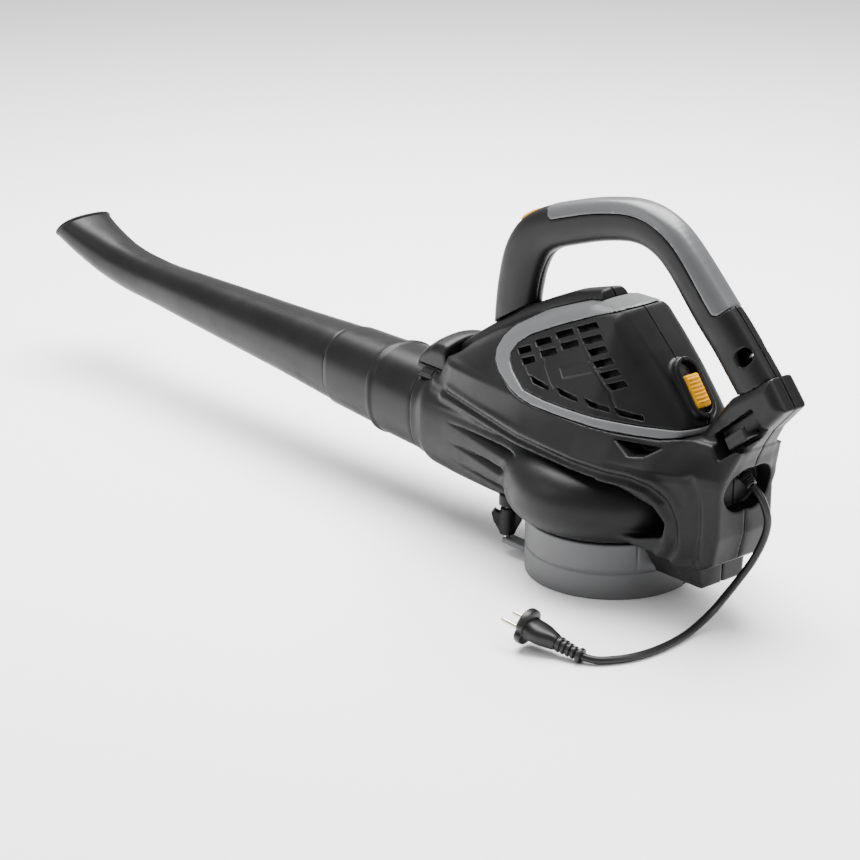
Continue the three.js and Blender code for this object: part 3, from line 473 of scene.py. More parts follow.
def spine_field(grid):
    """The raised back on top of the dome, in front of the trim, that carries the handle's front leg."""
    top = smooth_profile(grid.axes[0], SPINE, 1, 6)[:, None, None]
    above = (grid.z - top + 1.5 * (grid.y / 15) ** 2) * 0.87
    side = (np.abs(grid.y) - 15 - 0.25 * (top - grid.z)) * 0.97
    ends = meet(grid.x - 208, (0.8 * (grid.z - 284) - grid.x - 1) * 0.78, 180 - grid.z)
    return round_meet(round_meet(side, above, 3.5), ends, 1.5)


REAR_BLOCK = [(-112, 150), (-133, 176), (-150, 204), (-168, 226), (-214, 256), (-235, 230), (-210, 203),
              (-190, 172), (-184, 150)]


def rear_block_field(grid):
    """The block under the rear leg of the handle, wider at its foot."""
    width = np.interp(grid.axes[2], [150, 186, 205, 260], [30, 24, 20.5, 19.5])[None, None, :]
    return round_meet(side_outline(REAR_BLOCK, grid), np.abs(grid.y) - width, 10)


def cylinder_field(a, b, axis_value, start, end, radius, edge=0.5):
    """A round bar along one axis: a and b are the distances across it."""
    return round_meet(np.hypot(a, b) - radius, np.maximum(start - axis_value, axis_value - end), edge)


# ------------------------------------------------------------------ tilted frames of the side view

class Tilt:
    """A frame turned in the side view: `along` it and `out` of it."""

    def __init__(self, x, z, degrees):
        self.x, self.z = x, z
        self.c, self.s = math.cos(math.radians(degrees)), math.sin(math.radians(degrees))

    def along(self, x, z):
        return (x - self.x) * self.c + (z - self.z) * self.s

    def out(self, x, z):
        return (z - self.z) * self.c - (x - self.x) * self.s

    def block(self, grid, along, across, out, radius=1.0):
        """A rounded block between two limits in each of the frame's directions."""
        middles = [(a + b) / 2 for a, b in (along, across, out)]
        halves = [(b - a) / 2 for a, b in (along, across, out)]
        place = self.along(grid.x, grid.z), grid.y, self.out(grid.x, grid.z)
        return block_field(*place, middles, halves, radius)


SWITCH = Tilt(-110, 214.5, 53.4)
BUTTON = Tilt(118.5, 340.5, -31)
STRAP = Tilt(-181.5, 269.4, 46)
HOOK = Tilt(-186, 197, -40)
KNOB = (96, 51)

# ------------------------------------------------------------------ housing

TRIM_OUTER = [(-140, 182), (-109, 176.5), (-60, 175.5), (40, 176.5), (64, 179), (79, 183), (104, 193),
              (117, 202), (122, 211), (119, 223), (109, 236), (70, 259), (16, 280), (-2, 282.5), (-2, 300),
              (-42, 300), (-66, 276), (-90, 251), (-112, 228), (-127, 206), (-140, 190)]
TRIM_INNER = [(-140, 186), (-109, 186), (-24, 185), (27, 185), (60, 187), (84, 199), (93, 206), (96, 213),
              (90, 224), (75, 235), (38, 253), (-9, 273), (-35, 282), (-38, 283), (-38, 300), (-42, 300),
              (-66, 276), (-90, 251), (-112, 228), (-127, 206), (-140, 190)]
POCKET = [(-70, 171), (-116, 171), (-104, 162), (-90, 160)]


def foot_field(x, y, z):
    """The foot behind the ring, flaring up into the frame except at its rear corners."""
    flare = 16 * np.clip((x + 156) / 25, 0, 1) * np.clip((z - 36) / 24, 0, 1)
    side = (np.abs(y) - 30 - flare) * 0.85
    return round_meet(side, np.maximum(np.abs(x + 122.5) - 30.5, np.abs(z - 50) - 17), 3)


def housing_body(grid):
    x, y, z = grid.x, grid.y, grid.z
    body = fillet_union(hull_field(grid), dome_field(grid), 5)
    body = join(body, spine_field(grid))
    body = fillet_union(body, rear_block_field(grid), 4)
    body = fillet_union(body, duct_field(x, y, z), 4)
    body = fillet_union(body, fan_case_field(x, y, z), 5)
    return fillet_union(body, foot_field(x, y, z), 3)


def pocket_field(grid):
    """The dark pocket in the deck's side, under the rear of the trim."""
    return np.maximum(side_outline(POCKET, grid), 44 - np.abs(grid.y))


def housing_rooms(grid):
    """The hollow inside: fan room, duct, and the motor room above its floor."""
    x, y, z = grid.x, grid.y, grid.z
    fan_room = fan_case_field(x, y, z) + WALL
    duct = carve(duct_room(x, y, z), cylinder_field(x, y, z, 0, CASE_BASE + 5, 90))
    motor_room = join(hull_field(grid), dome_field(grid)) + WALL
    motor_room = meet(motor_room, 134 - z, -158 - x, x - 170, WALL - pocket_field(grid))
    inlet = cylinder_field(x, y, z, 30, 65, 72)
    motor_opening = cylinder_field(x, y, z, 118, 140, 60)
    return join(fan_room, duct, motor_room, inlet, motor_opening)


def housing_openings(grid):
    """What both shells leave open: ring room, frame window, trim bed, cord recess, hinge pocket."""
    x, y, z = grid.x, grid.y, grid.z
    return join(
        cylinder_field(x, y, z, 0, CASE_BASE, 86),
        side_outline(TRIM_OUTER, grid) - 0.2,
        cylinder_field(y - 8, z - 138, x, -300, -163, 23, 1.5),
        cylinder_field(y - GLAND_Y, z - GLAND_Z, x, -300, -163, 8.8, 1.5),
        pocket_field(grid),
        block_field(x, y, z, (-95, 0, 42), (15, 12.5, 12), 0.5),
        cylinder_field(x - HINGE_X, z - HINGE_Z, y, -20.5, 20.5, 2.8),
    )


LATCH_X, LATCH_LEAN = 234, math.radians(38)


def latch_place(x, y, z):
    """The tube release's own frame: along the tube, across, and out from the tube's axis."""
    c, s = math.cos(LATCH_LEAN), math.sin(LATCH_LEAN)
    up = z - tube_axis_z(LATCH_X)
    return x - LATCH_X, y * c - up * s, y * s + up * c


def make_housings():
    grid = Grid((-240, 0, 31), (252, 112, 298), 1.55)
    x, y, z = grid.x, grid.y, grid.z
    outside = housing_body(grid)
    shell = round_cut(outside, housing_openings(grid), 0.8)
    shell = carve(shell, housing_rooms(grid))
    shell = round_meet(shell, SEAM - y, 0.5)
    knob_x, knob_y = KNOB
    boss = cylinder_field(x - knob_x, y - knob_y, z, 51.5, 64, 9, 1)
    left = carve(join(shell, boss), cylinder_field(x - knob_x, y - knob_y, z, 30, 60.5, 3.6))
    hook_pocket = HOOK.block(grid, (-27, 27), (11, 80), (-13, 13), 2)
    left = round_cut(left, hook_pocket, 1)
    latch_pocket = block_field(*latch_place(x, y, z), (0, 0, 58), (12.6, 6.6, 18), 1)
    left = round_cut(left, latch_pocket, 0.6)
    right = shell
    for screw_x, screw_z in SCREWS:
        right = round_cut(right, cylinder_field(x - screw_x, z - screw_z, y, 14, 200, 4.6), 0.6)
    right = carve(right, cylinder_field(y + GLAND_Y, z - GLAND_Z, x, -175, -150, 5.3))
    left_shell = skinned("housing_shell_left", left, grid)
    return left_shell, mesh_object("housing_shell_right", *mirrored(*skin(right, grid)))


# ------------------------------------------------------------------ motor covers and trim

COVER_WALL = 3
# Upper front corner of each cooling slot in the side view, and the slot's length.
FRONT_SLOTS = [(87, 219, 19), (64, 232.5, 23), (37, 246.5, 24),
               (76, 212, 19), (51, 225.5, 22), (25, 239, 23)]
SLOT_ALONG = (-0.92, 0.39)
SLOT_DOWN = (-5.2, -3.9)
PLATE = [(16, 219), (-30, 237), (-38, 229), (8, 211)]
# Shallow grooves between the slots.
SLOT_JOINTS = [
    [(73, 210), (60, 201), (52, 200)],
    [(62, 231), (41, 219), (40, 215), (26, 202), (19, 198)],
    [(36, 245), (20, 235)],
    [(9, 257), (-47, 213), (-52, 210), (-55, 204), (-64, 194)],
]


def slot_outlines():
    column = [(8 - 11 * i, 259 - 8.4 * i, 24 - 1.6 * i) for i in range(6)]
    found = []
    for x, z, length in FRONT_SLOTS + column:
        ax, az = SLOT_ALONG[0] * length, SLOT_ALONG[1] * length
        dx, dz = SLOT_DOWN
        found.append([(x, z), (x + ax, z + az), (x + ax + dx, z + az + dz), (x + dx, z + dz)])
    for x, z in ((55, 201.5), (14, 200.5), (-25, 199), (-59, 197)):
        found.append([(x, z), (x - 29, z - 2.5), (x - 31, z - 6), (x - 7, z - 5)])
    return found


def racetrack(grid, along, half_width, out):
    """A slot with round ends, straight through along the switch frame's outward direction."""
    a = SWITCH.along(grid.x, grid.z)
    middle, reach = (along[0] + along[1]) / 2, (along[1] - along[0]) / 2 - half_width
    flat = np.hypot(np.maximum(np.abs(a - middle) - reach, 0), grid.y) - half_width
    o = SWITCH.out(grid.x, grid.z)
    return flat, np.maximum(out[0] - o, o - out[1])


def slot_shade_wall(grid, dome):
    """A dark wall just inside the cooling slots, standing in for the shade deep inside them so that nothing
    shows through; air passes round it.
    """
    behind_slots = block_field(grid.x, grid.y, grid.z, (20, 61, 225), (92, 39, 37), 0.2)
    wall = meet(dome + 9, -(dome + 11), behind_slots)
    under_wall = block_field(grid.x, grid.y, grid.z, (-13.5, 61, 189), (58.5, 39, 1), 0.2)
    shelf = meet(dome + 1, -(dome + 11), under_wall)
    return join(wall, shelf)


def make_covers():
    grid = Grid((-136, 0, 178), (116, 76, 290), 1.0)
    dome = dome_field(grid)
    lines = join(*[path_distance(line, *grid.side) for line in SLOT_JOINTS])[:, None, :]
    outside = dome + 0.9 * ridge(lines, 1.1)
    outside = outside - 1.1 * np.clip(0.5 - side_outline(PLATE, grid) / 1.4, 0, 1)
    lip = round_meet(*racetrack(grid, (-29, 36), 16, (-12, 3.5)), 2.2)
    outside = fillet_union(outside, lip, 3)
    shell = carve(outside, dome + COVER_WALL)
    shell = round_meet(shell, side_outline(TRIM_INNER, grid) + 0.45, 0.7)
    slots = join(*[side_outline(slot, grid) for slot in slot_outlines()]) - 0.4
    shell = round_cut(shell, np.maximum(slots, 8 - grid.y), 0.5)
    shell = round_cut(shell, np.maximum(*racetrack(grid, (-23, 32), 10.4, (-30, 30))), 1.2)
    shell = round_meet(shell, SEAM - grid.y, 0.4)
    # The slots are backed by a dark wall that stands in for the shade inside them.
    return skinned_pair("cover_left", "cover_right", join(shell, slot_shade_wall(grid, dome)), grid)


def make_trim():
    grid = Grid((-136, -76, 170), (126, 76, 290), 1.25)
    dome = dome_field(grid)
    band = np.maximum(side_outline(TRIM_OUTER, grid) + 0.35, 0.35 - side_outline(TRIM_INNER, grid))
    shell = carve(dome - 0.8, dome + COVER_WALL)
    return skinned("trim_band", round_meet(shell, band, 1.0), grid)


# ------------------------------------------------------------------ handle

HANDLE_STOPS = [(141, 205), (140, 236), (136, 268), (128, 298), (113, 322), (90, 338), (50, 352), (10, 363),
                (-30, 369), (-62, 364), (-92, 346), (-133, 303), (-156, 281), (-178, 257), (-196, 237)]
HANDLE_LENGTH = 640
GRIP_START, GRIP_END = 0.327, 0.84
# Half depth of the handle, and how far its middle lies outside the line, by share along it.
HANDLE_DEPTHS = [(0, 28, -2), (0.1, 26, -1), (0.2, 26, -2), (0.3, 22, -4), (0.5, 20.8, -4.3), (0.7, 21, -4.5),
                 (0.8, 23, -3), (1, 24, -2)]


def handle_place(grid):
    """For each side-view point: its share along the handle's line, and its distance to the outer side."""
    line = [(p.x, p.z) for p in catmull_rom([Vector((x, 0, z)) for x, z in HANDLE_STOPS], 6)]
    lengths = np.hypot(*np.diff(np.array(line).T))
    starts = np.concatenate([[0], np.cumsum(lengths)])
    x, z = grid.side
    nearest = np.full((len(grid.axes[0]), len(grid.axes[2])), 1e18)
    share, out = np.zeros(nearest.shape), np.zeros(nearest.shape)
    for i, ((ax, az), (bx, bz)) in enumerate(zip(line, line[1:])):
        dx, dz = bx - ax, bz - az
        t = np.clip(((x - ax) * dx + (z - az) * dz) / (dx * dx + dz * dz), 0, 1)
        off_x, off_z = x - ax - t * dx, z - az - t * dz
        apart = off_x**2 + off_z**2
        side = np.sign(off_x * dz - off_z * dx)
        closer = apart < nearest
        nearest = np.where(closer, apart, nearest)
        share = np.where(closer, (starts[i] + t * lengths[i]) / starts[-1], share)
        out = np.where(closer, side * np.sqrt(apart), out)
    return share[:, None, :], out[:, None, :]


def handle_skin(grid, share, out, inset=0):
    """The handle's rounded section, fuller where its two legs meet the body."""
    depth = smooth_profile(share, HANDLE_DEPTHS, 1, 0.03) - inset
    width = 16.5 - inset
    middle = smooth_profile(share, HANDLE_DEPTHS, 2, 0.03)
    section = (np.abs(grid.y / width) ** 2.6 + np.abs((out - middle) / depth) ** 2.6) ** (1 / 2.6)
    return (section - 1) * np.minimum(width, depth)


def grip_region(share, out):
    """Negative inside the grip's bed: the outer half of the handle, with round corners."""
    ends = np.maximum(GRIP_START - share, share - GRIP_END) * HANDLE_LENGTH
    return round_meet(ends, 3 - out, 9)


def make_handles():
    grid = Grid((-228, 0, 196), (174, 22, 396), 1.25)
    share, out = handle_place(grid)
    outside = handle_skin(grid, share, out)
    spine_top = smooth_profile(grid.axes[0], SPINE, 1, 6)[:, None, None]
    under = np.maximum(grid.z - spine_top, -grid.x)
    body = carve(outside, join(dome_field(grid), rear_block_field(grid), under) - 0.4)
    bed = carve(grip_region(share, out) - 0.2, outside + 2.6)
    body = round_cut(body, bed, 0.7)
    body = carve(body, handle_skin(grid, share, out, 5.5))
    body = round_cut(body, BUTTON.block(grid, (-13.4, 13.4), (-7, 7), (-14, 14), 2), 0.8)
    body = round_cut(body, STRAP.block(grid, (-8, 8), (-50, 50), (-10, 7), 6), 1.2)
    strap_place = STRAP.along(grid.x, grid.z), grid.y, STRAP.out(grid.x, grid.z)
    body = carve(body, cylinder_field(*strap_place, -13.3, 8.3, 2.9))
    body = round_meet(body, SEAM - grid.y, 0.5)
    return skinned_pair("handle_shell_left", "handle_shell_right", body, grid)


def make_grip():
    grid = Grid((-180, -20, 270), (146, 20, 396), 1.2)
    share, out = handle_place(grid)
    outside = handle_skin(grid, share, out)
    grip = round_meet(outside - 0.35, grip_region(share, out) + 0.25, 1.6)
    return skinned("grip_cover", carve(grip, outside + 2.3), grid)


# ------------------------------------------------------------------ tubes

def superellipse(half_width, half_height, power, count):
    angles = np.linspace(0, 2 * math.pi, count, endpoint=False)
    c, s = np.cos(angles), np.sin(angles)
    return (half_width * np.sign(c) * np.abs(c) ** (2 / power),
            half_height * np.sign(s) * np.abs(s) ** (2 / power))


def lofted(rings, close_ends=False):
    """Quads between rings of equal point count; open ends join up when the last ring is the first."""
    count = len(rings[0])
    faces = []
    for r in range(len(rings) - 1):
        for i in range(count):
            j = (i + 1) % count
            faces.append((r * count + i, r * count + j, (r + 1) * count + j, (r + 1) * count + i))
    if close_ends:
        faces.append(tuple(range(count))[::-1])
        faces.append(tuple(range((len(rings) - 1) * count, len(rings) * count)))
    return np.concatenate(rings), faces


def closed_tube(outer, inner):
    """A tube's wall as one loop of rings: along its outside and back along its inside."""
    rings = [*outer, *reversed(inner)]
    points, faces = lofted(rings)
    count, last = len(rings[0]), len(rings) - 1
    for i in range(count):
        j = (i + 1) % count
        faces.append((last * count + i, last * count + j, j, i))
    return points, faces


TUBE_SIDES = 112
# A flat facet on the tube's top and a soft lengthwise edge where it ends, above the left side.
FACET_ANGLE, FACET_WIDTH, FACET_DEPTH = math.radians(112), math.radians(34), 1.6


def tube_ring(x, radius, facet=1.0):
    y, up = superellipse(radius, radius, SECTION_POWER, TUBE_SIDES)
    angle = np.arctan2(up, y)
    near = np.abs((angle - FACET_ANGLE + math.pi) % (2 * math.pi) - math.pi) / FACET_WIDTH
    press = 1 - facet * FACET_DEPTH / radius * np.clip(1 - near, 0, 1) ** 0.8 * (near < 1)
    return np.stack([np.full(TUBE_SIDES, float(x)), y * press, tube_axis_z(x) + up * press], 1)


def tube_rings(stations):
    """Rings at (x, radius) stations; a third number splits the way to the next station into steps."""
    rings = []
    for (x, radius, *split), (next_x, next_radius, *_) in zip(stations, [*stations[1:], stations[-1]]):
        steps = split[0] if split else 1
        rings += [tube_ring(x + (next_x - x) * i / steps, radius + (next_radius - radius) * i / steps)
                  for i in range(steps)]
    return rings


SLEEVE_STEP, SLEEVE_END = 324, 404


def make_lower_tube():
    start, step, end = COLLAR_END + 0.5, SLEEVE_STEP, SLEEVE_END
    outer = [(211, 46.6), (212, 47.4), (214, 47.5, 6), (start, 47.5), (start, 50.2), (start + 0.4, 51.1),
             (start + 1.3, 51.4, 12), (312, 49.9), (315, 49.8), (317, 50.6), (318.4, 51.1, 3),
             (step - 2, 51), (step - 0.8, 50.4), (step, 48.8), (step + 0.3, 47.6), (step + 1.5, 47.3, 14),
             (end - 1.2, 44.6), (end - 0.4, 44.2), (end, 43.4)]
    inner = [(211, 45.3), (212, 44.6, 6), (COLLAR_END, 44.5), (step, 44, 12), (end - 1, 41.4), (end, 42.2)]
    return mesh_object("blower_tube_lower", *closed_tube(tube_rings(outer), tube_rings(inner)), 50)


# The nozzle's turned-up end: x on the axis, rise, tilt, half width, half height.
NOZZLE_END = [(780, 0, 0.04, 25, 25), (820, 1.5, 0.12, 25.5, 25), (856, 6, 0.3, 27, 25),
              (888, 14, 0.5, 30, 25), (916, 23, 0.72, 33.5, 24.5), (938, 32, 0.86, 36.5, 24)]


def nozzle_ring(share, inset, past=0.0):
    """A section of the bend: `share` runs from 0 to 1 over NOZZLE_END."""
    at = np.array([share * (len(NOZZLE_END) - 1)])
    stops = [(i, *station) for i, station in enumerate(NOZZLE_END)]
    columns = [float(smooth_profile(at, stops, i, 0.55)[0]) for i in range(1, 6)]
    x, rise, tilt, half_width, half_height = columns
    y, v = superellipse(half_width - inset, half_height - inset, SECTION_POWER, TUBE_SIDES)
    return np.stack([x - v * math.sin(tilt) + past * math.cos(tilt), y,
                     tube_axis_z(x) + rise + v * math.cos(tilt) + past * math.sin(tilt)], 1)


NOZZLE_WALL = 2.6
# The lip round the mouth: how far inside the section it lies, and how far past its end.
LIP = [(-0.9, 1), (-1.2, 2.2), (-0.8, 3.3), (0.2, 3.6)]
LIP_INSIDE = [(NOZZLE_WALL - 0.6, 2.4), (NOZZLE_WALL - 1.4, 3.4)]


def make_nozzle_tube():
    start = SLEEVE_END + 0.4
    outer = tube_rings([(372, 39.6), (373, 40.4), (start, 40.4), (start, 41.9), (start + 0.4, 42.6),
                        (start + 1.2, 42.9, 6), (430, 41.7, 6), (500, 37.6, 6), (600, 33.2, 6),
                        (700, 28.7, 6), (760, 25.7)])[:-1]
    outer += [tube_ring(768, 25.4, 0.5), *[nozzle_ring(i / 28, 0) for i in range(29)]]
    outer += [nozzle_ring(1, *place) for place in LIP]
    inner = tube_rings([(372, 38.4), (373, 37.8), (404, 37.6), (412, 38), (430, 38.4),
                        (500, 37.6 - NOZZLE_WALL), (600, 33.2 - NOZZLE_WALL), (700, 28.7 - NOZZLE_WALL),
                        (760, 23.1)])
    inner += [nozzle_ring(i / 14, NOZZLE_WALL) for i in range(15)]
    inner += [nozzle_ring(1, *place) for place in LIP_INSIDE]
    return mesh_object("blower_tube_nozzle", *closed_tube(outer, inner), 50)


# ------------------------------------------------------------------ ring, knob, latch and controls

def make_ring():
    """The intake ring: a groove round it, a seam, drain slits, and the tab under the wing knob."""
    grid = Grid((-108, -88, -1), (110, 88, 60), 1.15)
    x, y, z = grid.x, grid.y, grid.z
    radius = np.hypot(x, y)
    groove = 1.3 * ridge(z - 28, 1.1)
    angle = np.arctan2(y, x)
    seam = 1.1 * ridge((angle - math.radians(154)) * 85, 1.0) * (z > 29)
    outside = round_meet(radius - 85 + groove + seam, np.maximum(-z, z - RING_TOP + 0.2), 1.6)
    wide_bore = np.maximum(radius - 80, z - RING_TOP + 4)
    narrow_bore = np.maximum(radius - 72.6, RING_TOP - 4 - z)
    ring = carve(outside, join(wide_bore, narrow_bore))
    knob_x, knob_y = KNOB
    tab = block_field(x, y, z, (knob_x - 16, knob_y, 15), (17, 8, 3), 2)
    notch = block_field(x, y, z, (knob_x + 2, knob_y, 15), (6, 4.2, 8), 1)
    tab = meet(tab, 83.5 - radius, -notch)
    lug = block_field(x, y, z, (HINGE_X + 5, 0, HINGE_Z), (11, 11.5, 4.5), 3)
    ring = fillet_union(join(ring, lug), tab, 2)
    ring = carve(ring, cylinder_field(x - HINGE_X, z - HINGE_Z, y, -20, 20, 2.7))
    for i in range(9):
        slit = math.radians(196 + 9 * i)
        across = -x * math.sin(slit) + y * math.cos(slit)
        out = x * math.cos(slit) + y * math.sin(slit)
        ring = round_cut(ring, block_field(across, out, z, (0, 87, 0), (1.1, 4.2, 9), 0.5), 0.4)
    return skinned("suction_ring", ring, grid)


def make_knob():
    grid = Grid((76, 31, 19), (116, 71, 51), 0.55)
    knob_x, knob_y = KNOB
    u = (grid.x - knob_x) * math.sqrt(0.5) + (grid.y - knob_y) * math.sqrt(0.5)
    v = (grid.x - knob_x) * math.sqrt(0.5) - (grid.y - knob_y) * math.sqrt(0.5)
    outline = [(-13, 48), (-16.5, 43), (-14.5, 35), (-7, 21.5), (7, 21.5), (14.5, 35), (16.5, 43), (13, 48),
               (7, 43.5), (-7, 43.5)]
    wing = round_meet(outline_field(outline, u, grid.z), np.abs(v) - 3.6, 1.6)
    hub = cylinder_field(u, v, grid.z, 20.2, 49, 7.4, 1.4)
    knob = fillet_union(hub, wing, 2.5)
    return skinned("wing_screw", np.maximum(knob, 3.3 - np.hypot(u, v)), grid)


def make_latch():
    grid = Grid((216, 14, 120), (252, 56, 166), 0.55)
    a, b, c = latch_place(grid.x, grid.y, grid.z)
    cap = block_field(a, b, c, (0, 0, 58), (12, 6, 4.6), 1.8)
    crown = block_field(a, b, c, (0, 0, 62), (9, 4, 2.4), 1.4)
    return skinned("tube_release", fillet_union(cap, crown, 1), grid)


HOOD = [(258, 61), (252, 70), (244, 78), (236, 83), (226, 86.5), (214, 88), (206, 86)]


def make_hood():
    """The hood over the collar, with a step across it and a shadow groove above its lower edge."""
    grid = Grid((206, -42, 130), (260, 42, 202), 0.9)
    x, y, z = grid.x, grid.y, grid.z
    up = z - tube_axis_z(x)
    radius = np.hypot(y, up)
    top = smooth_profile(x, HOOD, 1, 4)
    step = 1.2 / (1 + np.exp((x - 232) / 1.0))
    outside = (radius - top - step) * 0.85
    sides = (np.abs(y) - 31 - 0.1 * up) * 0.98
    hood = round_meet(round_meet(outside, sides, 7), np.maximum(208 - x, x - 257), 3)
    hood = round_meet(hood, 60.6 - radius, 1.2)
    groove = block_field(x, np.abs(y), radius, (232, 34, 66), (30, 8, 0.9), 0.6)
    hood = round_cut(hood, groove, 0.4)
    room = block_field(x, y, radius, (227, 0, 60), (14, 24, 12), 3)
    return skinned("collar_hood", carve(hood, room), grid)


def make_slider():
    grid = Grid((-136, -11, 190), (-86, 11, 238), 0.55)
    cap = SWITCH.block(grid, (-17, 17), (-9.4, 9.4), (-4, 4.5), 2.6)
    along, out = SWITCH.along(grid.x, grid.z), SWITCH.out(grid.x, grid.z)
    for at in range(-12, 13, 4):
        rib = block_field(along, grid.y, out, (at, 0, 4.4), (0.9, 7.4, 1.3), 0.8)
        cap = fillet_union(cap, rib, 0.7)
    stem = SWITCH.block(grid, (-4, 4), (-2.2, 2.2), (-13, -3))
    return skinned("power_slider", join(cap, stem), grid)


def make_button():
    grid = Grid((100, -8, 324), (136, 8, 356), 0.5)
    cap = BUTTON.block(grid, (-12.5, 12.5), (-6.2, 6.2), (-8, 3), 1.6)
    crown = BUTTON.block(grid, (-9.5, 9.5), (-5, 5), (1, 4.3), 1.6)
    return skinned("boost_button", fillet_union(cap, crown, 1.2), grid)


def make_hook():
    grid = Grid((-212, 10, 172), (-160, 31, 222), 0.7)
    arm = HOOK.block(grid, (-15, 13), (11.3, 29), (-9, -3), 1.6)
    lip = HOOK.block(grid, (-15, 13), (24.6, 29), (-9, 3.2), 1.6)
    return skinned("cable_rest", fillet_union(arm, lip, 1.5), grid)


def make_strap_pin():
    across, up = superellipse(2.5, 2.5, 2, 40)
    rings = []
    for out, scale in ((-13, 0.8), (-12.4, 1), (7.4, 1), (8, 0.8)):
        along = across * scale
        rings.append(np.stack([STRAP.x + along * STRAP.c - out * STRAP.s, up * scale,
                               STRAP.z + along * STRAP.s + out * STRAP.c], 1))
    return mesh_object("strap_bar", *lofted(rings, True))


# ------------------------------------------------------------------ gland, plug and pins

def turned_along(start, end, stations, sides=48):
    """Round rings between two points: each station is a share of the way and a radius."""
    start, end = Vector(start), Vector(end)
    way = end - start
    turn = way.to_track_quat("Z", "Y").to_matrix()
    across, up = superellipse(1, 1, 2, sides)
    rings = []
    for share, radius in stations:
        middle = start + way * share
        ring = [middle + turn @ Vector((a * radius, b * radius, 0)) for a, b in zip(across, up)]
        rings.append(np.array(ring))
    return rings


def make_gland():
    """A ribbed sleeve that guides the lead out of the recess."""
    collar = turned_along((-156, GLAND_Y, GLAND_Z), (-166.4, GLAND_Y, GLAND_Z),
                          [(0, 4.6), (0.04, 5), (0.7, 5), (0.7, 7), (0.75, 7.5), (0.95, 7.5), (1, 6.9)])
    stations = [(0, 5.6), (0.05, 6.3)]
    for i in range(4):
        share, rib, neck = 0.1 + 0.21 * i, 6.4 - 0.25 * i, 5.3 - 0.2 * i
        stations += [(share, rib), (share + 0.12, rib - 0.1), (share + 0.14, neck), (share + 0.19, neck)]
    stations += [(0.97, 5.4), (1, 4.9)]
    sleeve = turned_along((-167.3, GLAND_Y, 144.3), (-178.2, GLAND_Y, 136.8), stations)
    points_a, faces_a = lofted(collar, True)
    points_b, faces_b = lofted(sleeve, True)
    faces = faces_a + [tuple(i + len(points_a) for i in face) for face in faces_b]
    return mesh_object("lead_gland", np.concatenate([points_a, points_b]), faces, 50)


# The plug is drawn straight, its face at x = 0, and then laid nose up on its lead.
PLUG_PLACE = (Matrix.Translation((-85.7, 195.7, 22.6)) @ Matrix.Rotation(math.radians(14), 4, "Z")
              @ Matrix.Rotation(math.radians(-14), 4, "Y"))


def laid(rings):
    return [np.array([PLUG_PLACE @ Vector(point) for point in ring]) for ring in rings]


def plug_ring(back, half_width, half_height, power=2.5, notch=0.0):
    """One section of the plug, with a notch in each side when asked."""
    y, z = superellipse(half_width, half_height, power, 96)
    y = y * (1 - notch * ridge(z, 3.2))
    return np.stack([np.full(len(y), -float(back)), y, z], 1)


def make_plug():
    """A moulded two-pin plug: a round notched flange, and a flat body that narrows to its neck."""
    flange = [(0, 16.2), (0.5, 17.2), (1.6, 17.8), (6, 17.8), (7.2, 17.2), (7.8, 16)]
    rings = [plug_ring(back, radius, radius * 0.99, 2.1, 0.16) for back, radius in flange]
    body = [(8.2, 14, 10.5), (9.4, 13.2, 9.9), (14, 13, 9.6), (19, 13.2, 9.3), (24, 12.4, 9), (29, 10.4, 8.6),
            (33, 8.6, 8.1), (36, 7.9, 7.7), (38, 7.2, 7)]
    rings += [plug_ring(*station) for station in body]
    return mesh_object("plug_shell", *lofted(laid(rings[::-1]), True), 35)


def make_plug_relief():
    """The ribbed strain relief, with a small flange where the lead leaves it."""
    rings = [plug_ring(38.4, 6.6, 6.4, 2.2)]
    for i in range(4):
        back, size = 40.5 + 5.2 * i, 7.4 - 0.45 * i
        rings += [plug_ring(back + step, size - drop, size - drop, 2.2)
                  for step, drop in ((0, 0.4), (0.5, 0), (2.4, 0), (2.9, 0.4), (3.2, 2), (4.8, 2))]
    end_flange = [(61.6, 4.6), (62.2, 7), (63, 7.6), (65.4, 7.6), (66.2, 7), (66.6, 4.2)]
    rings += [plug_ring(back, size, size, 2.1) for back, size in end_flange]
    return mesh_object("plug_strain_relief", *lofted(laid(rings[::-1]), True), 40)


def make_pin(side, name):
    y = 9.5 * side
    rings = turned_along((-8.6, y, 0), (19, y, 0),
                         [(0, 2.2), (0.02, 2.4), (0.93, 2.4), (0.975, 2.1), (0.995, 1.4), (1, 0.8)], 36)
    return mesh_object(name, *lofted(laid(rings), True), 50)


# ------------------------------------------------------------------ materials

def fill(tree, node, values):
    """Links each input to a socket, or sets it to a constant."""
    for name, value in values.items():
        if isinstance(value, bpy.types.NodeSocket):
            tree.links.new(value, node.inputs[name])
        else:
            node.inputs[name].default_value = value


def ramp(tree, source, stops):
    node = tree.nodes.new("ShaderNodeValToRGB")
    elements = node.color_ramp.elements
    while len(elements) < len(stops):
        elements.new(0.5)
    for element, (place, colour) in zip(elements, stops):
        element.position = place
        element.color = (*colour, 1)
    fill(tree, node, {"Fac": source})
    return node.outputs[0]


def object_place(tree):
    return tree.nodes.new("ShaderNodeTexCoord").outputs["Object"]


def noise(tree, scale, detail=3, stretch_by=None):
    """Noise in the object's own metres; `stretch_by` scales it along each axis."""
    place = object_place(tree)
    if stretch_by:
        mapping = tree.nodes.new("ShaderNodeMapping")
        fill(tree, mapping, {"Scale": stretch_by, "Vector": place})
        place = mapping.outputs["Vector"]
    node = tree.nodes.new("ShaderNodeTexNoise")
    fill(tree, node, {"Scale": scale, "Detail": detail, "Vector": place})
    return node.outputs["Fac"]


def waves(tree, kind, scale, distortion):
    """Even bands or rings about the object's upright axis."""
    node = tree.nodes.new("ShaderNodeTexWave")
    node.wave_type = kind
    node.bands_direction = "Z"
    node.rings_direction = "Z"
    fill(tree, node, {"Scale": scale, "Distortion": distortion, "Vector": object_place(tree)})
    return node.outputs["Fac"]


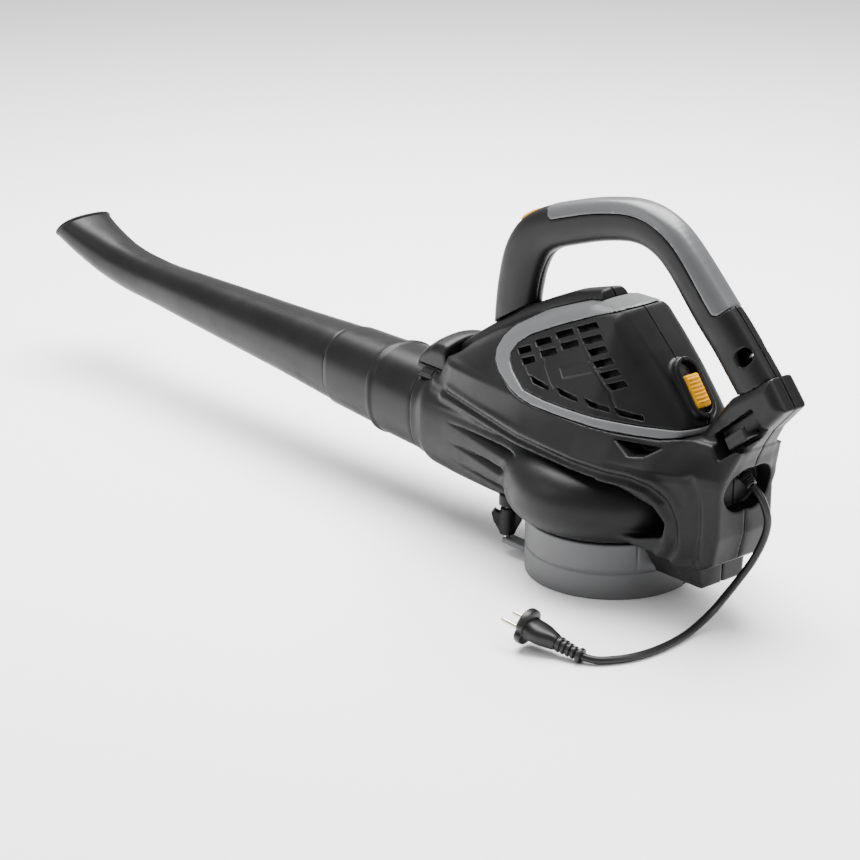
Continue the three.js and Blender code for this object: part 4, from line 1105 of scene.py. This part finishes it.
def mixed(tree, factor, first, second):
    """A colour socket mixed with a plain colour."""
    node = tree.nodes.new("ShaderNodeMix")
    node.data_type = "RGBA"
    fill(tree, node, {0: factor, 6: first, 7: (*second, 1)})
    return node.outputs[2]


def mapped(tree, value, low, high, to_low, to_high):
    node = tree.nodes.new("ShaderNodeMapRange")
    fill(tree, node, {"Value": value, "From Min": low, "From Max": high,
                      "To Min": to_low, "To Max": to_high})
    return node.outputs["Result"]


def bumped(tree, height, strength, distance):
    node = tree.nodes.new("ShaderNodeBump")
    fill(tree, node, {"Height": height, "Strength": strength, "Distance": distance})
    return node.outputs["Normal"]


def edge_wear(tree):
    """Rises to 1 along convex edges."""
    point = tree.nodes.new("ShaderNodeNewGeometry").outputs["Pointiness"]
    return mapped(tree, point, 0.53, 0.6, 0, 1)


def material(name):
    made = bpy.data.materials.new(name)
    made.use_nodes = True
    return made, made.node_tree, made.node_tree.nodes["Principled BSDF"]


def lighter(colour, share):
    return tuple(c + (1 - c) * share for c in colour)


def darker(colour, scale):
    return tuple(c * scale for c in colour)


def plastic(name, colour, roughness, grain=1400, grain_depth=0.00006, wear=0.10,
            sheen=0.0, coat=0.0, gloss=0.5):
    """Moulded plastic: spark-eroded grain, faint flow variation, rubbed edges."""
    made, tree, shader = material(name)
    fine = noise(tree, grain, 4)
    cloudy = ramp(tree, noise(tree, 9, 2), [(0.3, darker(colour, 0.9)), (0.7, lighter(colour, 0.003))])
    worn = mixed(tree, edge_wear(tree), cloudy, lighter(colour, wear))
    speckled = mixed(tree, mapped(tree, fine, 0.35, 0.7, 0, 0.22), worn, lighter(colour, 0.006))
    smudged = mapped(tree, noise(tree, 38, 5), 0.3, 0.7, roughness - 0.05, roughness + 0.06)
    fill(tree, shader, {"Base Color": speckled, "Roughness": smudged,
                        "Normal": bumped(tree, fine, 0.55, grain_depth),
                        "IOR": 1.5, "Specular IOR Level": gloss,
                        "Sheen Weight": sheen, "Sheen Roughness": 0.4,
                        "Coat Weight": coat, "Coat Roughness": 0.3})
    return made


def metal(name, colour, roughness, brushed_along=(1, 1, 0.06)):
    """Turned or stamped metal: fine tool lines and slight tarnish."""
    made, tree, shader = material(name)
    lines = noise(tree, 900, 3, brushed_along)
    toned = ramp(tree, noise(tree, 60, 4), [(0.3, darker(colour, 0.85)), (0.65, colour)])
    fill(tree, shader, {"Base Color": mixed(tree, edge_wear(tree), toned, lighter(colour, 0.3)),
                        "Roughness": mapped(tree, lines, 0.3, 0.7, roughness - 0.08, roughness + 0.1),
                        "Normal": bumped(tree, lines, 0.3, 0.00003), "Metallic": 1})
    return made


def laminated(name, colour):
    """Stacked steel sheets under varnish."""
    made, tree, shader = material(name)
    sheets = waves(tree, "BANDS", 320, 0.2)
    fill(tree, shader, {"Base Color": ramp(tree, sheets, [(0.2, darker(colour, 0.6)), (0.6, colour)]),
                        "Roughness": mapped(tree, noise(tree, 70, 3), 0.3, 0.7, 0.4, 0.55),
                        "Normal": bumped(tree, sheets, 0.4, 0.0001), "Metallic": 0.8})
    return made


def wound(name, colour):
    """Enamelled winding wire."""
    made, tree, shader = material(name)
    turns = waves(tree, "RINGS", 260, 0.6)
    fill(tree, shader, {"Base Color": ramp(tree, turns, [(0.1, darker(colour, 0.35)), (0.55, colour)]),
                        "Roughness": mapped(tree, noise(tree, 120, 3), 0.3, 0.7, 0.25, 0.4),
                        "Normal": bumped(tree, turns, 0.6, 0.0002), "Metallic": 0.9})
    return made


def make_materials():
    return {
        "shell_black": plastic("black_shell_plastic", (0.0035, 0.0035, 0.0037), 0.4,
                               wear=0.02, gloss=0.18),
        "tube_black": plastic("black_tube_plastic", (0.003, 0.003, 0.0032), 0.36, 1700,
                              wear=0.015, gloss=0.18),
        "trim_grey": plastic("grey_trim_plastic", (0.085, 0.087, 0.09), 0.4, wear=0.08),
        "ring_grey": plastic("grey_ring_plastic", (0.075, 0.076, 0.079), 0.45, wear=0.07),
        "grip_grey": plastic("soft_grip_rubber", (0.066, 0.067, 0.07), 0.32, 2100,
                             wear=0.08, sheen=0.05),
        "control_yellow": plastic("yellow_control_plastic", (0.72, 0.33, 0.0), 0.42, 1500,
                                  wear=0.0, gloss=0.1),
        "cable_rubber": plastic("lead_rubber", (0.003, 0.003, 0.0032), 0.36, 1900, 0.00005,
                                0.02, gloss=0.3),
        "inner_plastic": plastic("inner_dark_plastic", (0.012, 0.012, 0.013), 0.6, gloss=0.2),
        "nylon_white": plastic("natural_nylon", (0.5, 0.49, 0.44), 0.5, 900),
        "board_green": plastic("board_mask", (0.015, 0.12, 0.05), 0.35, 500, coat=0.3),
        "steel": metal("turned_steel", (0.6, 0.61, 0.62), 0.32),
        "laminations": laminated("varnished_laminations", (0.16, 0.17, 0.18)),
        "copper": wound("winding_copper", (0.3, 0.1, 0.045)),
        "brass": metal("stamped_brass", (0.68, 0.5, 0.25), 0.34),
        "carbon": plastic("pressed_carbon", (0.012, 0.012, 0.013), 0.75, 2600),
        "pin_metal": metal("nickel_pins", (0.68, 0.62, 0.5), 0.24, (0.06, 1, 1)),
    }


# ------------------------------------------------------------------ floor and light

def make_stage():
    floor_mesh = bpy.data.meshes.new("studio_floor")
    reach = 9
    floor_mesh.from_pydata([(-reach, -reach, 0), (reach, -reach, 0), (reach, reach, 0), (-reach, reach, 0)],
                           [], [(0, 1, 2, 3)])
    floor = linked("studio_floor", floor_mesh)
    made, tree, shader = material("pale_floor")
    tone = ramp(tree, noise(tree, 1.2, 2), [(0.3, (0.93, 0.93, 0.93)), (0.7, (0.95, 0.95, 0.95))])
    fill(tree, shader, {"Base Color": tone, "Roughness": 0.75})
    floor_mesh.materials.append(made)


def area_light(name, place, aim, size, power, stretch_to=None):
    data = bpy.data.lights.new(name, "AREA")
    data.shape = "RECTANGLE"
    data.size = size
    data.size_y = stretch_to or size
    data.energy = power
    light = linked(name, data)
    light.location = place
    light.rotation_mode = "QUATERNION"
    light.rotation_quaternion = (Vector(aim) - Vector(place)).to_track_quat("-Z", "Y")


def make_lights():
    world = bpy.data.worlds.new("studio")
    world.use_nodes = True
    background = world.node_tree.nodes["Background"]
    background.inputs["Color"].default_value = (1, 1, 1, 1)
    background.inputs["Strength"].default_value = 0.6
    bpy.context.scene.world = world
    middle = FAN_AXIS + Vector((0.2, 0, 0.15))
    area_light("overhead_softbox", middle + Vector((0.5, -0.5, 2.0)), middle, 2.2, 290)
    area_light("front_left_fill", middle + Vector((0.9, 1.6, 0.9)), middle, 1.1, 12)
    area_light("rear_strip", middle + Vector((-1.7, -0.3, 1.0)), middle, 0.5, 16, 1.6)


# ------------------------------------------------------------------ the machine

def finish_piece(piece, body, slot, replaced, materials):
    piece.data.materials.clear()
    piece.data.materials.append(materials[slot])
    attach(piece, body)
    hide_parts(replaced)


def dress_frame(materials):
    """Every part that stays as it is in the frame gets its slot's finish."""
    slots = {part["node"]: part["material_slot"] for part in frame["record"]["subparts"]}
    for name, node in nodes.items():
        node.data.materials.clear()
        node.data.materials.append(materials[slots[name]])


SHELL_PAIRS = [
    (make_housings, "housing_left", "housing_right"),
    (make_covers, "motor_cover_left", "motor_cover_right"),
    (make_handles, "handle_left", "handle_right"),
]
# What makes each other piece, the body it rides on, its material slot and the node it stands for.
PIECES = [
    (make_trim, "root", "trim_grey", "trim_frame"),
    (make_grip, "root", "grip_grey", "grip_insert"),
    (make_hood, "root", "shell_black", "latch_hood"),
    (make_hook, "root", "shell_black", "cable_hook"),
    (make_strap_pin, "root", "steel", "strap_pin"),
    (make_gland, "root", "cable_rubber", "cable_gland"),
    (make_latch, "tube_latch", "shell_black", "latch_button"),
    (make_lower_tube, "lower_tube", "tube_black", "lower_tube"),
    (make_nozzle_tube, "nozzle_tube", "tube_black", "nozzle_tube"),
    (make_ring, "intake_ring", "ring_grey", "intake_ring"),
    (make_knob, "wing_knob", "shell_black", "wing_knob"),
    (make_slider, "slide_switch", "control_yellow", "slide_switch"),
    (make_button, "thumb_button", "control_yellow", "thumb_button"),
]


def lay_cord(materials):
    """The lead from its gland to its plug, which lies on the floor."""
    lead = make_cord()
    finish_piece(lead, "root", "cable_rubber", "cord", materials)
    plug = make_plug()
    relief = make_plug_relief()
    pins = [make_pin(1, "contact_pin_a"), make_pin(-1, "contact_pin_b")]
    finish_piece(plug, "root", "cable_rubber", "plug_body", materials)
    finish_piece(relief, "root", "cable_rubber", "plug_relief", materials)
    for pin, node in zip(pins, ("plug_pin_a", "plug_pin_b")):
        finish_piece(pin, "root", "pin_metal", node, materials)


def main():
    make_camera()
    materials = make_materials()
    dress_frame(materials)
    lay_cord(materials)
    for make, *replaced in SHELL_PAIRS:
        for piece, node in zip(make(), replaced):
            finish_piece(piece, "root", "shell_black", node, materials)
    for make, body, slot, node in PIECES:
        finish_piece(make(), body, slot, node, materials)
    make_stage()
    make_lights()


main()
